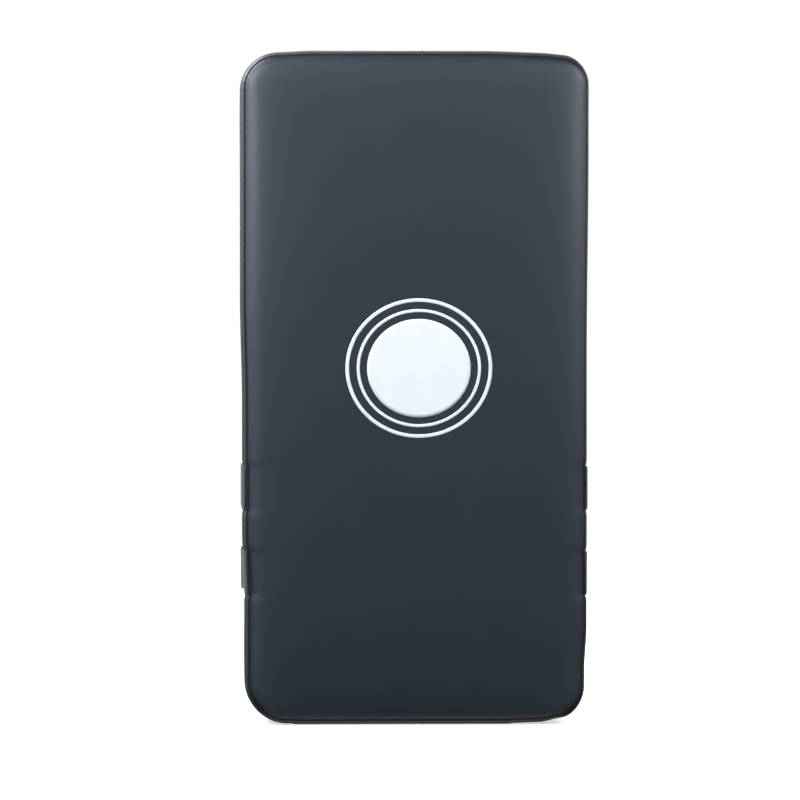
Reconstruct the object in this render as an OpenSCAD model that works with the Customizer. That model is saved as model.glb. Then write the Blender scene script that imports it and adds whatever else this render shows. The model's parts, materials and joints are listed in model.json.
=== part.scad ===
// Kick shield: a tall padded strike shield. A vinyl cover holds three layers of foam. On the
// arm side are two hook-and-loop forearm straps, a padded hand grip and the zip of the cover.
// X runs across the pad, -Y is the way the strike face looks, +Z is up. The origin is the
// centre of the bottom edge that the pad stands on.

/* [Pad] */
// Width across the side gussets
pad_w = 310; // [290:1:340]
// Height of the pad
pad_h = 600; // [560:1:700]
// Thickness from the strike face to the arm side
pad_t = 120; // [100:1:150]
// Corner radius of the gusset, seen from the front
corner_r = 38; // [30:1:46]
// Thickness of the vinyl skin
skin_t = 1.2; // [0.8:0.1:1.6]
// How far each face seam stands in from the gusset
seam_inset = 4; // [3:0.5:6]
// Depth of the rolled edge between a face and its seam
roll_d = 8; // [6:0.5:12]
// Thickness of the sewing thread
thread_t = 0.8; // [0.4:0.1:1.2]

/* [Foam] */
// Thickness of the firm foam behind the strike face
strike_foam_t = 20; // [10:1:30]
// Thickness of the soft foam at the arm side
arm_foam_t = 28; // [15:1:35]

/* [Target] */
// Sideways place of the printed target
target_x = 3.5; // [-10:0.5:10]
// Height of the middle of the printed target
target_z = 318; // [280:1:340]
// Height of each printed shape as a share of its width
target_squash = 0.95; // [0.9:0.01:1]
// Width of the printed disc
disc_w = 92; // [80:1:100]
// Outer width of the inner ring
ring_inner_w = 110.4; // [106:0.2:114]
// Line width of the inner ring
ring_inner_line = 2.7; // [1.5:0.1:3.5]
// Outer width of the outer ring
ring_outer_w = 130.4; // [122:0.2:140]
// Line width of the outer ring
ring_outer_line = 3.2; // [1.5:0.1:4]
// Thickness of the printed film
film_t = 0.3; // [0.2:0.1:0.5]

/* [Forearm straps] */
// Width of the strap webbing
strap_w = 38; // [25:1:50]
// Thickness of the strap webbing
strap_t = 1.8; // [1.2:0.1:2.2]
// Height of the middle of the upper strap
upper_strap_z = 211; // [205:1:240]
// Height of the middle of the lower strap
lower_strap_z = 135; // [110:1:140]
// How far the straps arch out from their roots
arch_rise = 70; // [55:1:80]
// Depth of a strap's root behind the arm side
root_gap = 6; // [5:0.5:8]
// Length over which the two halves of a strap lie on each other
overlap_w = 110; // [80:1:130]
// Thickness of the hook patch and of the loop patch
patch_t = 1.1; // [0.8:0.1:1.3]
// Space between the hook patch and the loop patch
patch_gap = 0.4; // [0.3:0.1:0.6]

/* [Hand grip] */
// Height of the hand grip
grip_z = 414; // [380:1:460]
// Distance between the legs of the grip
grip_span = 174; // [160:1:190]
// Reach of the grip's middle line from the arm side
grip_reach = 52; // [48:1:60]
// Width of the grip's webbing
grip_web_w = 25; // [20:1:26]
// Radius of the padded sleeve
sleeve_r = 15; // [14.5:0.5:17]
// Length of the padded sleeve
sleeve_len = 114; // [100:1:120]
// Bend radius of the webbing between leg and sleeve
grip_bend_r = 24; // [18:1:26]
// Length of each webbing end that is sewn flat
anchor_len = 40; // [34:1:46]
// Thickness of the vinyl patch under each sewn end
backing_t = 1; // [0.8:0.1:1.4]

/* [Zip] */
// Height of the zip above the bottom edge
zip_z = 52; // [48:1:60]
// Length of the window for the zip
zip_window_len = 236; // [200:1:240]
// Height of the window for the zip
zip_window_h = 12; // [11:0.5:14]
// Radius of one row of zip coil
coil_r = 1.1; // [0.9:0.1:1.2]
// Length of the zip slider
slider_len = 12; // [10:0.5:14]
// Width of the zip slider
slider_w = 9; // [8:0.5:9.5]
// Length of the pull tab from its pin
pull_len = 28; // [22:1:34]

/* [Hidden] */
$fn = 96;

// Colours
vinyl = "#3a414d";
gusset_vinyl = "#4b4f4e";
print_white = "#f2f4f6";
foam_white = "#d9dad6";
foam_grey = "#8d9094";
webbing_black = "#25262a";
patch_black = "#1d1e21";
thread_black = "#15161a";
zip_black = "#202226";
nickel = "#9a9ca0";

// Pad
front_y = -pad_t / 2;
back_y = pad_t / 2;
front_seam_y = front_y + roll_d;
back_seam_y = back_y - roll_d;
face_w = pad_w - 2 * seam_inset;
face_h = pad_h - 2 * seam_inset;
face_r = corner_r - seam_inset;
core_front_y = front_y + skin_t + strike_foam_t;
core_back_y = back_y - skin_t - arm_foam_t;
thread_gap = 0.4;
// Overshoot that a cut reaches past the face it cuts
over = 1;

// Straps: the flap and the left half lie on two circles about one centre
side_x = pad_w / 2;
root_x = side_x + strap_t / 2;
root_y = back_y + root_gap;
flap_r = (root_x * root_x + arch_rise * arch_rise) / (2 * arch_rise);
arch_y = root_y + arch_rise - flap_r;
layer_step = strap_t + 2 * patch_t + patch_gap;
left_r = flap_r - layer_step;
flap_root_a = acos(root_x / flap_r);
left_root_a = 180 - acos(root_x / left_r);
left_root_y = arch_y + left_r * sin(left_root_a);
overlap_a = asin(overlap_w / 2 / left_r);
patch_a = overlap_a - 1;
strap_front_y = front_seam_y + 1;
hinge_clear = 0.4;
strap_stitch_y = back_seam_y - 20;
strap_stitch_l = 16;
stitch_w = 0.8;
stitch_t = 0.3;

// Grip: its webbing ends in round feet, which turn just above the sewn ends
grip_y = back_y + grip_reach;
grip_web_t = strap_t;
grip_end_y = back_y + backing_t;
grip_foot_clear = 0.4;
grip_axis_y = grip_end_y + grip_web_t + grip_foot_clear + grip_web_w / 2;
grip_bend_y = grip_y - grip_bend_r;
grip_bend_x = grip_span / 2 - grip_bend_r;
sleeve_skin_t = 1.2;
backing_margin = 8;
anchor_inner_x = grip_span / 2 - grip_web_t / 2;
box_margin = 4;

// Zip
tape_t = 0.8;
tape_w = 15;
tape_gap = 2;
tape_over = 8;
tape_y = back_y - skin_t - tape_t;
coil_z = tape_gap / 2 + coil_r;
coil_y = back_y - skin_t + coil_r;
stop_len = 3;
stop_x = zip_window_len / 2 - 7;
coil_len = 2 * (stop_x - 0.1);
slider_clear = 0.4;
slider_plate_t = 1.2;
slider_top_y = coil_y + coil_r + slider_clear;
slider_low_y = tape_y - slider_clear - slider_plate_t;
slider_x = stop_x - slider_len / 2 - 4;
slider_post_w = 1.2;
slider_post_len = 3;
pocket_y = slider_low_y - slider_clear;
pin_r = 0.6;
pin_clear = 0.06;
pull_eye_r = 1.6;
pull_w = 3.6;
pull_t = 1.2;
pull_plate_w = 6;
ear_t = 1;
ear_gap = 0.3;
ear_r = 1.6;
pin_y = slider_top_y + slider_plate_t + 0.3 + pull_eye_r;
ear_z = pull_w / 2 + ear_gap;

// Rounded rectangle about the origin
module round_rect(w, h, r) {
    square([w - 2 * r, h], center = true);
    square([w, h - 2 * r], center = true);
    for (x = [-1, 1], z = [-1, 1])
        translate([x * (w / 2 - r), z * (h / 2 - r)])
            circle(r);
}

// Upright slab of the pad's outline between two depths
module slab(y0, y1, w, h, r) {
    translate([0, y1, pad_h / 2])
        rotate([90, 0, 0])
            linear_extrude(y1 - y0)
                round_rect(w, h, r);
}

// Slab of the faces' outline, grown by a margin
module face_slab(y0, y1, grow) {
    slab(y0, y1, face_w + 2 * grow, face_h + 2 * grow, face_r + grow);
}

// Half of the gusset: a wall with a lip at each seam, split above and below the middle
module gusset_half(side) {
    intersection() {
        difference() {
            slab(front_seam_y, back_seam_y, pad_w, pad_h, corner_r);
            slab(front_seam_y + skin_t, back_seam_y - skin_t,
                pad_w - 2 * skin_t, pad_h - 2 * skin_t, corner_r - skin_t);
            face_slab(front_seam_y - over, back_seam_y + over, -skin_t);
        }
        translate([side < 0 ? -pad_w : 0, -pad_t / 2, -over])
            cube([pad_w, pad_t, pad_h + 2 * over]);
    }
}

// Loop of thread along a face seam
module seam_thread(y0) {
    difference() {
        face_slab(y0, y0 + thread_t, thread_t);
        face_slab(y0 - over, y0 + thread_t + over, 0);
    }
}

// Ellipse of a given width about the origin
module target_outline(w) {
    polygon([for (i = [0:$fn - 1])
        [w / 2 * cos(360 * i / $fn), w / 2 * target_squash * sin(360 * i / $fn)]]);
}

// Printed film on the strike face
module print_film(outer_w, inner_w) {
    translate([target_x, front_y, target_z])
        rotate([90, 0, 0])
            linear_extrude(film_t)
                difference() {
                    target_outline(outer_w);
                    if (inner_w > 0)
                        target_outline(inner_w);
                }
}

// Arc of a strap about the arch's centre, seen from above
module strap_arc(r, t, a0, a1) {
    reach = 2 * r;
    translate([0, arch_y])
        intersection() {
            difference() {
                circle(r + t / 2);
                circle(r - t / 2);
            }
            polygon([[0, 0], reach * [cos(a0), sin(a0)], reach * [cos(a1), sin(a1)]]);
        }
}

// Raises a strap's outline to its width, about height z
module strap_band(z) {
    translate([0, 0, z - strap_w / 2])
        linear_extrude(strap_w)
            children();
}

// Left half of a strap: along the side gusset, then over the arm side
module strap_left(z) {
    strap_band(z) {
        translate([-side_x - strap_t, strap_front_y])
            square([strap_t, left_root_y - strap_front_y]);
        translate([-root_x, left_root_y])
            circle(strap_t / 2);
        strap_arc(left_r, strap_t, 90 - overlap_a, left_root_a);
    }
}

// Right half of a strap as far as its bend
module strap_right(z) {
    strap_band(z)
        translate([side_x, strap_front_y])
            square([strap_t, root_y - strap_t / 2 - hinge_clear - strap_front_y]);
}

// Right half of a strap past its bend, which peels open
module strap_flap(z) {
    strap_band(z) {
        translate([root_x, root_y])
            circle(strap_t / 2);
        strap_arc(flap_r, strap_t, flap_root_a, 90 + overlap_a);
    }
}

// Loop patch on the outside of the left half
module loop_patch(z) {
    strap_band(z)
        strap_arc(left_r + (strap_t + patch_t) / 2, patch_t, 90 - patch_a, 90 + patch_a);
}

// Hook patch on the inside of the flap
module hook_patch(z) {
    strap_band(z)
        strap_arc(flap_r - (strap_t + patch_t) / 2, patch_t, 90 - patch_a, 90 + patch_a);
}

// Stitched box with a cross, flat about the origin
module box_stitch(l, w) {
    run = sqrt((l - stitch_w) * (l - stitch_w) + (w - stitch_w) * (w - stitch_w));
    linear_extrude(stitch_t) {
        difference() {
            square([l, w], center = true);
            square([l - 2 * stitch_w, w - 2 * stitch_w], center = true);
        }
        for (s = [-1, 1])
            rotate(s * atan2(w - stitch_w, l - stitch_w))
                square([run, stitch_w], center = true);
    }
}

module front_panel() {
    color(vinyl)
        difference() {
            face_slab(front_y, front_seam_y, 0);
            face_slab(front_y + skin_t, front_seam_y + over, -skin_t);
        }
}

module back_panel() {
    color(vinyl)
        difference() {
            face_slab(back_seam_y, back_y, 0);
            face_slab(back_seam_y - over, back_y - skin_t, -skin_t);
            translate([0, back_y + over, zip_z])
                rotate([90, 0, 0])
                    linear_extrude(skin_t + 2 * over)
                        round_rect(zip_window_len, zip_window_h, zip_window_h / 4);
        }
}

module target_disc() {
    color(print_white)
        print_film(disc_w, 0);
}

module target_ring_inner() {
    color(print_white)
        print_film(ring_inner_w, ring_inner_w - 2 * ring_inner_line);
}

module target_ring_outer() {
    color(print_white)
        print_film(ring_outer_w, ring_outer_w - 2 * ring_outer_line);
}

module gusset_left() {
    color(gusset_vinyl)
        gusset_half(-1);
}

module gusset_right() {
    color(gusset_vinyl)
        gusset_half(1);
}

module front_seam_thread() {
    color(thread_black)
        seam_thread(front_seam_y - thread_gap - thread_t);
}

module back_seam_thread() {
    color(thread_black)
        seam_thread(back_seam_y + thread_gap);
}

module strike_foam() {
    color(foam_grey)
        face_slab(front_y + skin_t, core_front_y, -skin_t);
}

module core_foam() {
    color(foam_white)
        slab(core_front_y, core_back_y,
            pad_w - 2 * skin_t, pad_h - 2 * skin_t, corner_r - skin_t);
}

module arm_side_foam() {
    pocket_len = zip_window_len + 2 * tape_over + 2;
    pocket_h = tape_gap + 2 * tape_w + 2;
    color(foam_grey)
        difference() {
            face_slab(core_back_y, back_y - skin_t, -skin_t);
            translate([-pocket_len / 2, pocket_y, zip_z - pocket_h / 2])
                cube([pocket_len, back_y - pocket_y, pocket_h]);
        }
}

module upper_strap_left() {
    color(webbing_black)
        strap_left(upper_strap_z);
}

module upper_strap_right() {
    color(webbing_black)
        strap_right(upper_strap_z);
}

module upper_strap_flap() {
    color(webbing_black)
        strap_flap(upper_strap_z);
}

module upper_loop_patch() {
    color(patch_black)
        loop_patch(upper_strap_z);
}

module upper_hook_patch() {
    color(patch_black)
        hook_patch(upper_strap_z);
}

module lower_strap_left() {
    color(webbing_black)
        strap_left(lower_strap_z);
}

module lower_strap_right() {
    color(webbing_black)
        strap_right(lower_strap_z);
}

module lower_strap_flap() {
    color(webbing_black)
        strap_flap(lower_strap_z);
}

module lower_loop_patch() {
    color(patch_black)
        loop_patch(lower_strap_z);
}

module lower_hook_patch() {
    color(patch_black)
        hook_patch(lower_strap_z);
}

module strap_stitching() {
    color(thread_black)
        for (side = [-1, 1], z = [upper_strap_z, lower_strap_z])
            translate([side * (side_x + strap_t), strap_stitch_y, z])
                rotate([0, side * 90, 0])
                    rotate(90)
                        box_stitch(strap_stitch_l, strap_w - 2 * box_margin);
}

module grip_webbing() {
    color(webbing_black) {
        translate([0, 0, grip_z - grip_web_w / 2])
            linear_extrude(grip_web_w) {
                translate([-grip_bend_x, grip_y - grip_web_t / 2])
                    square([2 * grip_bend_x, grip_web_t]);
                for (side = [-1, 1]) {
                    translate([side * grip_span / 2 - grip_web_t / 2, grip_axis_y])
                        square([grip_web_t, grip_bend_y - grip_axis_y]);
                    translate([side * grip_bend_x, grip_bend_y])
                        intersection() {
                            difference() {
                                circle(grip_bend_r + grip_web_t / 2);
                                circle(grip_bend_r - grip_web_t / 2);
                            }
                            translate([side < 0 ? -2 * grip_bend_r : 0, 0])
                                square(2 * grip_bend_r);
                        }
                }
            }
        for (side = [-1, 1])
            translate([side * grip_span / 2 - grip_web_t / 2, grip_axis_y, grip_z])
                rotate([0, 90, 0])
                    cylinder(r = grip_web_w / 2, h = grip_web_t);
    }
}

module grip_foam() {
    color(foam_grey)
        difference() {
            translate([-sleeve_len / 2, grip_y, grip_z])
                rotate([0, 90, 0])
                    cylinder(r = sleeve_r - sleeve_skin_t, h = sleeve_len);
            translate([-sleeve_len, grip_y - grip_web_t / 2, grip_z - grip_web_w / 2])
                cube([2 * sleeve_len, grip_web_t, grip_web_w]);
        }
}

module grip_sleeve() {
    color(vinyl)
        translate([-sleeve_len / 2, grip_y, grip_z])
            rotate([0, 90, 0])
                difference() {
                    cylinder(r = sleeve_r, h = sleeve_len);
                    translate([0, 0, -over])
                        cylinder(r = sleeve_r - sleeve_skin_t, h = sleeve_len + 2 * over);
                }
}

// Webbing end that is sewn flat on the arm side
module grip_end(side) {
    low_x = side < 0 ? -anchor_inner_x - anchor_len : anchor_inner_x;
    translate([low_x, grip_end_y, grip_z - grip_web_w / 2])
        cube([anchor_len, grip_web_t, grip_web_w]);
}

// Vinyl patch under a sewn webbing end
module grip_backing(side) {
    w = anchor_len + 2 * backing_margin;
    h = grip_web_w + 2 * backing_margin;
    translate([side * (anchor_inner_x + anchor_len / 2), back_y + backing_t, grip_z])
        rotate([90, 0, 0])
            linear_extrude(backing_t)
                round_rect(w, h, backing_margin);
}

module grip_end_left() {
    color(webbing_black)
        grip_end(-1);
}

module grip_end_right() {
    color(webbing_black)
        grip_end(1);
}

module grip_backing_left() {
    color(vinyl)
        grip_backing(-1);
}

module grip_backing_right() {
    color(vinyl)
        grip_backing(1);
}

module grip_stitching() {
    color(thread_black)
        for (side = [-1, 1])
            translate([side * (anchor_inner_x + anchor_len / 2), grip_end_y + grip_web_t, grip_z])
                rotate([-90, 0, 0])
                    box_stitch(anchor_len - 2 * box_margin, grip_web_w - 2 * box_margin);
}

// One tape of the zip, above or below the row of teeth
module zip_tape(side) {
    low_z = side < 0 ? -tape_gap / 2 - tape_w : tape_gap / 2;
    translate([-zip_window_len / 2 - tape_over, tape_y, zip_z + low_z])
        cube([zip_window_len + 2 * tape_over, tape_t, tape_w]);
}

// One row of coil, resting on its tape
module zip_coil(side) {
    translate([-coil_len / 2, coil_y, zip_z + side * coil_z])
        rotate([0, 90, 0])
            cylinder(r = coil_r, h = coil_len);
}

module zip_tape_upper() {
    color(zip_black)
        zip_tape(1);
}

module zip_tape_lower() {
    color(zip_black)
        zip_tape(-1);
}

module zip_coil_upper() {
    color(zip_black)
        zip_coil(1);
}

module zip_coil_lower() {
    color(zip_black)
        zip_coil(-1);
}

module zip_stops() {
    stop_w = 2 * (coil_z + coil_r) + 1;
    color(nickel)
        for (x = [-stop_x - stop_len, stop_x])
            translate([x, back_y - skin_t, zip_z - stop_w / 2])
                cube([stop_len, 2 * coil_r + slider_clear, stop_w]);
}

module zip_seam_thread() {
    w = zip_window_len + 8;
    h = zip_window_h + 8;
    color(thread_black)
        translate([0, back_y + stitch_t, zip_z])
            rotate([90, 0, 0])
                linear_extrude(stitch_t)
                    difference() {
                        round_rect(w, h, 5);
                        round_rect(w - 2 * stitch_w, h - 2 * stitch_w, 5 - stitch_w);
                    }
}

module zip_slider() {
    color(nickel) {
        for (y = [slider_low_y, slider_top_y])
            translate([slider_x - slider_len / 2, y, zip_z - slider_w / 2])
                cube([slider_len, slider_plate_t, slider_w]);
        translate([slider_x - slider_post_len / 2, slider_low_y, zip_z - slider_post_w / 2])
            cube([slider_post_len, slider_top_y + slider_plate_t - slider_low_y, slider_post_w]);
        for (z = [zip_z - ear_z - ear_t, zip_z + ear_z])
            translate([slider_x, pin_y, z]) {
                cylinder(r = ear_r, h = ear_t);
                translate([-ear_r, slider_top_y - pin_y, 0])
                    cube([2 * ear_r, pin_y - slider_top_y, ear_t]);
            }
        translate([slider_x, pin_y, zip_z - ear_z - ear_t / 2])
            cylinder(r = pin_r, h = 2 * ear_z + ear_t);
    }
}

module zip_pull() {
    color(nickel)
        difference() {
            union() {
                translate([slider_x, pin_y, zip_z - pull_w / 2])
                    cylinder(r = pull_eye_r, h = pull_w);
                translate([slider_x - pull_len / 2, pin_y - pull_t / 2, zip_z - pull_w / 2])
                    cube([pull_len / 2, pull_t, pull_w]);
                translate([slider_x - pull_len, pin_y - pull_t / 2, zip_z - pull_plate_w / 2])
                    cube([pull_len * 0.7, pull_t, pull_plate_w]);
            }
            translate([slider_x, pin_y, zip_z - pull_w])
                cylinder(r = pin_r + pin_clear, h = 2 * pull_w);
        }
}

front_panel();
target_disc();
target_ring_inner();
target_ring_outer();
gusset_left();
gusset_right();
back_panel();
front_seam_thread();
back_seam_thread();
strike_foam();
core_foam();
arm_side_foam();
upper_strap_left();
upper_strap_right();
upper_strap_flap();
upper_loop_patch();
upper_hook_patch();
lower_strap_left();
lower_strap_right();
lower_strap_flap();
lower_loop_patch();
lower_hook_patch();
strap_stitching();
grip_webbing();
grip_foam();
grip_sleeve();
grip_end_left();
grip_end_right();
grip_backing_left();
grip_backing_right();
grip_stitching();
zip_tape_upper();
zip_tape_lower();
zip_coil_upper();
zip_coil_lower();
zip_stops();
zip_seam_thread();
zip_slider();
zip_pull();
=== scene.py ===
import json
import math

import bmesh
import bpy
import numpy as np
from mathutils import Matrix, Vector
from mathutils.bvhtree import BVHTree


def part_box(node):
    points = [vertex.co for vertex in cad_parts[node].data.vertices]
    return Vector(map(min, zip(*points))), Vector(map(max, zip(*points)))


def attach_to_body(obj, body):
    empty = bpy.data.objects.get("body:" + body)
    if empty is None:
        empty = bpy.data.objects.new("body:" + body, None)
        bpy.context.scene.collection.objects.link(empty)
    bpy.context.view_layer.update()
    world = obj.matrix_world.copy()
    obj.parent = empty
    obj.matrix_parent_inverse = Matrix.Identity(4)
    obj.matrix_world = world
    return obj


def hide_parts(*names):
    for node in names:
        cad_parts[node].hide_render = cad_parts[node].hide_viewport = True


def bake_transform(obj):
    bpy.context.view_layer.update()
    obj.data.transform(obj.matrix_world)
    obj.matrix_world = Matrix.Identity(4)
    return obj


# Kick shield: the looks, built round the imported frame. Everything is in metres in the frame's own axes:
# X across the pad, -Y out of the strike face, +Z up.
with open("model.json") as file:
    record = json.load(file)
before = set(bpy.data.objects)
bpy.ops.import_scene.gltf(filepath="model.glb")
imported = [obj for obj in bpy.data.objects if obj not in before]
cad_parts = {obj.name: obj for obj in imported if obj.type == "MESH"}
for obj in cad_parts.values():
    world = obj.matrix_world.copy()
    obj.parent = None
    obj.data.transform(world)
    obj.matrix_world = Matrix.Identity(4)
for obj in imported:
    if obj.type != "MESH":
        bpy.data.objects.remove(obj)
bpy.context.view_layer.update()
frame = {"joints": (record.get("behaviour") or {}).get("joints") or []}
MM = 0.001
SCENE = bpy.context.scene


# ---------------------------------------------------------------- sizes that come from the frame
def low(node):
    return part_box(node)[0]


def high(node):
    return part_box(node)[1]


def facing(node):
    """Middle and half sizes (x, z) of a CAD node, seen from the front."""
    a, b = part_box(node)
    return np.array([(a.x + b.x) / 2, (a.z + b.z) / 2]), (b.x - a.x) / 2, (b.z - a.z) / 2


def joint(name):
    return next(j for j in frame["joints"] if j["name"] == name)


FRONT_Y = low("front_panel").y
BACK_Y = high("back_panel").y
FRONT_SEAM_Y = low("gusset_left").y
BACK_SEAM_Y = high("gusset_left").y
HALF_W = high("gusset_right").x
HEIGHT = high("gusset_left").z
SKIN_T = 1.2 * MM

# ---------------------------------------------------------------- shape of the cover
WIDEST = HALF_W + 1.0 * MM
TALLEST = HEIGHT + 1.2 * MM
# Corner radii of the gusset, from the bottom left anticlockwise
CORNER_R = (39.5 * MM, 33.5 * MM, 29.7 * MM, 35 * MM)
SEAM_INSET = 4.5 * MM
PUFF = 4.5 * MM
# Share of the seam's inset by which it lies further out on the right side
RIGHT_SEAM_SHIFT = 0.45
PUFF_REACH = 14 * MM
ROLL_RISE = 3.9 * MM
ROLL_REACH = 6 * MM
# A face's rise past its roll: (height, reach) of the shoulder and of the wide crown, and the distance from
# the seam at which they set in fully
SWELL_START = 10 * MM
SWELLS = ((3.4 * MM, 14 * MM), (3.6 * MM, 45 * MM))
FLAT_INSET = 25.2 * MM
GROOVE = 1.6 * MM
GROOVE_W = 1.15 * MM
STITCH_PITCH = 6.5 * MM
PUCKER = 0.22 * MM
# How far each strap presses in the left side and the right side of the pad
STRAP_DENTS = (("upper_strap_left", 1.2 * MM, 1.0 * MM), ("lower_strap_left", 1.7 * MM, 1.4 * MM))
STRAP_HALF, STRAP_EASE = 14 * MM, 9 * MM
# How the corners droop (top) and lift (bottom), right and left: (height, distance from the middle, width)
DROOPS = ((1.7 * MM, 60 * MM, 65 * MM), (1.3 * MM, 90 * MM, 35 * MM))
LIFTS = ((0.9 * MM, 80 * MM, 32 * MM), (0.2 * MM, 95 * MM, 30 * MM))
# The two right corners are cut a little slanting, round this distance from the middle
SLANT_X, SLANT_W = 129 * MM, 9 * MM
SLANT_LIFT, SLANT_DROOP = 2.4 * MM, 1.2 * MM
# Reach of the droop and of the lift, up or down the pad, and the height of the faces' soft waves
CORNER_FADE = 0.1
WAVE_HEIGHT = 0.3 * MM
# How far the bottom settles, and below what height
SAG, SAG_REACH = 0.5 * MM, 8 * MM
# How the pad narrows downwards: (how far in, from which height down, over what height)
LEFT_NARROWS = ((1.9 * MM, 0.385, 0.1), (1.8 * MM, 0.175, 0.065))
RIGHT_NARROWS = ((1.6 * MM, 0.52, 0.2), (2.2 * MM, 0.09, 0.045))
# Coarse cells of the loop round the pad
CORNER_CELLS = 8
SHORT_CELLS = 36
LONG_CELLS = 80
ACROSS = SHORT_CELLS + CORNER_CELLS
UP = LONG_CELLS + CORNER_CELLS
AROUND = 2 * (ACROSS + UP)


def smooth(t):
    t = np.clip(t, 0.0, 1.0)
    return t * t * (3 - 2 * t)


def unit(vectors):
    return vectors / np.linalg.norm(vectors, axis=1, keepdims=True)


def run_along(points):
    """Length along a line of points, at each of them."""
    return np.concatenate([[0], np.cumsum(np.linalg.norm(np.diff(points, axis=0), axis=1))])


def circle(count):
    """Cosines and sines of even angles all round."""
    turn = 2 * np.pi * np.arange(count) / count
    return np.cos(turn), np.sin(turn)


def arc_run(centre, radius, start, sweep, count):
    """Points and outward normals of an arc, without its last point."""
    angles = np.radians(start + sweep * np.arange(count) / count)
    normals = np.stack([np.cos(angles), np.sin(angles)], 1)
    return np.asarray(centre) + radius * normals, normals


def line_run(start, end, normal, count):
    """Points and outward normals of a straight side, without its last point."""
    share = np.arange(count)[:, None] / count
    points = np.asarray(start) * (1 - share) + np.asarray(end) * share
    return points, np.tile(np.asarray(normal, float), (count, 1))


def outline(step):
    """The loop round the pad, seen from the front, anticlockwise from the middle of the bottom left corner:
    points (x, z) at the widest line, and outward normals, step points to a coarse cell."""
    bl, br, tr, tl = CORNER_R
    half = CORNER_CELLS // 2 * step
    w, h = WIDEST, TALLEST
    runs = [
        arc_run((-w + bl, bl), bl, 225, 45, half),
        line_run((-w + bl, 0), (w - br, 0), (0, -1), SHORT_CELLS * step),
        arc_run((w - br, br), br, 270, 90, 2 * half),
        line_run((w, br), (w, h - tr), (1, 0), LONG_CELLS * step),
        arc_run((w - tr, h - tr), tr, 0, 90, 2 * half),
        line_run((w - tr, h), (-w + tl, h), (0, 1), SHORT_CELLS * step),
        arc_run((-w + tl, h - tl), tl, 90, 90, 2 * half),
        line_run((-w, h - tl), (-w, bl), (-1, 0), LONG_CELLS * step),
        arc_run((-w + bl, bl), bl, 180, 45, half),
    ]
    return np.concatenate([r[0] for r in runs]), np.concatenate([r[1] for r in runs])


def swell(points):
    """How far the stuffing lifts a face beyond its rolled edge, at each place on it."""
    x, z = points[..., 0], points[..., 2] - TALLEST / 2

    def rise(place, half, reach):
        return 1 - np.cosh(np.minimum(np.abs(place), half) / reach) / np.cosh(half / reach)

    return sum(height * rise(x, WIDEST - SEAM_INSET, reach) * rise(z, TALLEST / 2 - SEAM_INSET, reach)
               for height, reach in SWELLS)


def face_profile(angles, insets):
    """Section of a face from its seam inwards: inset, rise out of the seam and length from the seam."""
    rows = [(SEAM_INSET + ROLL_REACH * (1 - math.cos(a)), ROLL_RISE * math.sin(a)) for a in angles]
    rows += [(inset, ROLL_RISE) for inset in insets]
    return with_length(*np.array(rows).T)


def with_length(inset, place):
    """Adds each row's length along the section."""
    length = np.concatenate([[0], np.cumsum(np.hypot(np.diff(inset), np.diff(place)))])
    return inset, place, length


def gusset_profile(angles, rows_between):
    """Section of the gusset from the front seam to the back seam: rows of (inset, y, length)."""
    inset = [SEAM_INSET - 0.85 * PUFF * math.sin(a) for a in angles]
    depth = [PUFF_REACH * (1 - math.cos(a)) for a in angles]
    half = (BACK_SEAM_Y - FRONT_SEAM_Y) / 2
    for k in range(1, rows_between + 1):
        depth.append(PUFF_REACH + (half - PUFF_REACH) * k / rows_between)
        inset.append(inset[len(angles) - 1])
    depth, inset = np.array(depth), np.array(inset)
    inset = inset - 0.15 * PUFF * np.sin(math.pi / 2 * depth / half)
    depth = np.concatenate([depth, 2 * half - depth[-2::-1]])
    inset = np.concatenate([inset, inset[-2::-1]])
    return with_length(inset, FRONT_SEAM_Y + depth)


def rings(profile, step):
    """Points (ring, loop, xyz) of a section swept round the outline. The profile's second row is y."""
    points, normals = outline(step)
    inset, place, _ = profile
    outwards = RIGHT_SEAM_SHIFT * np.minimum(inset, SEAM_INSET)[:, None] * np.maximum(normals[:, 0], 0) ** 2
    flat = points[None] - (inset[:, None] - outwards)[..., None] * normals[None]
    y = np.broadcast_to(place[:, None], flat.shape[:2])
    return np.stack([flat[..., 0], y, flat[..., 1]], -1)


def coons(loop, step):
    """Grid (row up, column across, xyz) that fills a closed loop of points with straight blends."""
    na, nu = ACROSS * step, UP * step
    closed = np.concatenate([loop, loop[:1]])
    bottom, right = closed[: na + 1], closed[na: na + nu + 1]
    top, left = closed[na + nu: 2 * na + nu + 1][::-1], closed[2 * na + nu:][::-1]
    u = np.linspace(0, 1, na + 1)[None, :, None]
    v = np.linspace(0, 1, nu + 1)[:, None, None]
    ruled = (1 - v) * bottom[None] + v * top[None] + (1 - u) * left[:, None] + u * right[:, None]
    corners = (1 - u) * (1 - v) * bottom[0] + u * (1 - v) * bottom[-1]
    corners = corners + (1 - u) * v * top[0] + u * v * top[-1]
    return ruled - corners


class Cover:
    """Outer surface of the cover at one fineness: two faces and the gusset between them."""

    def __init__(self, step, roll_angles, flat_insets, puff_angles, rows_between):
        self.step = step
        self.face = face_profile(roll_angles, flat_insets)
        self.side = gusset_profile(puff_angles, rows_between)
        inset, rise, length = self.face
        self.front = rings((inset, FRONT_SEAM_Y - rise, length), step)
        self.back = rings((inset, BACK_SEAM_Y + rise, length), step)
        self.gusset = rings(self.side, step)
        # A face's grid is coarser than its rings: thin is how many of their points make one of its
        grid_step = max(1, step // 2)
        self.thin = step // grid_step
        self.front_grid = coons(self.front[-1, :: self.thin], grid_step)
        self.back_grid = coons(self.back[-1, :: self.thin], grid_step)
        share = smooth((inset - SEAM_INSET) / SWELL_START)[:, None]
        for sign, border, grid in ((-1, self.front, self.front_grid), (1, self.back, self.back_grid)):
            border[..., 1] += sign * share * swell(border)
            grid[..., 1] += sign * swell(grid)


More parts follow.
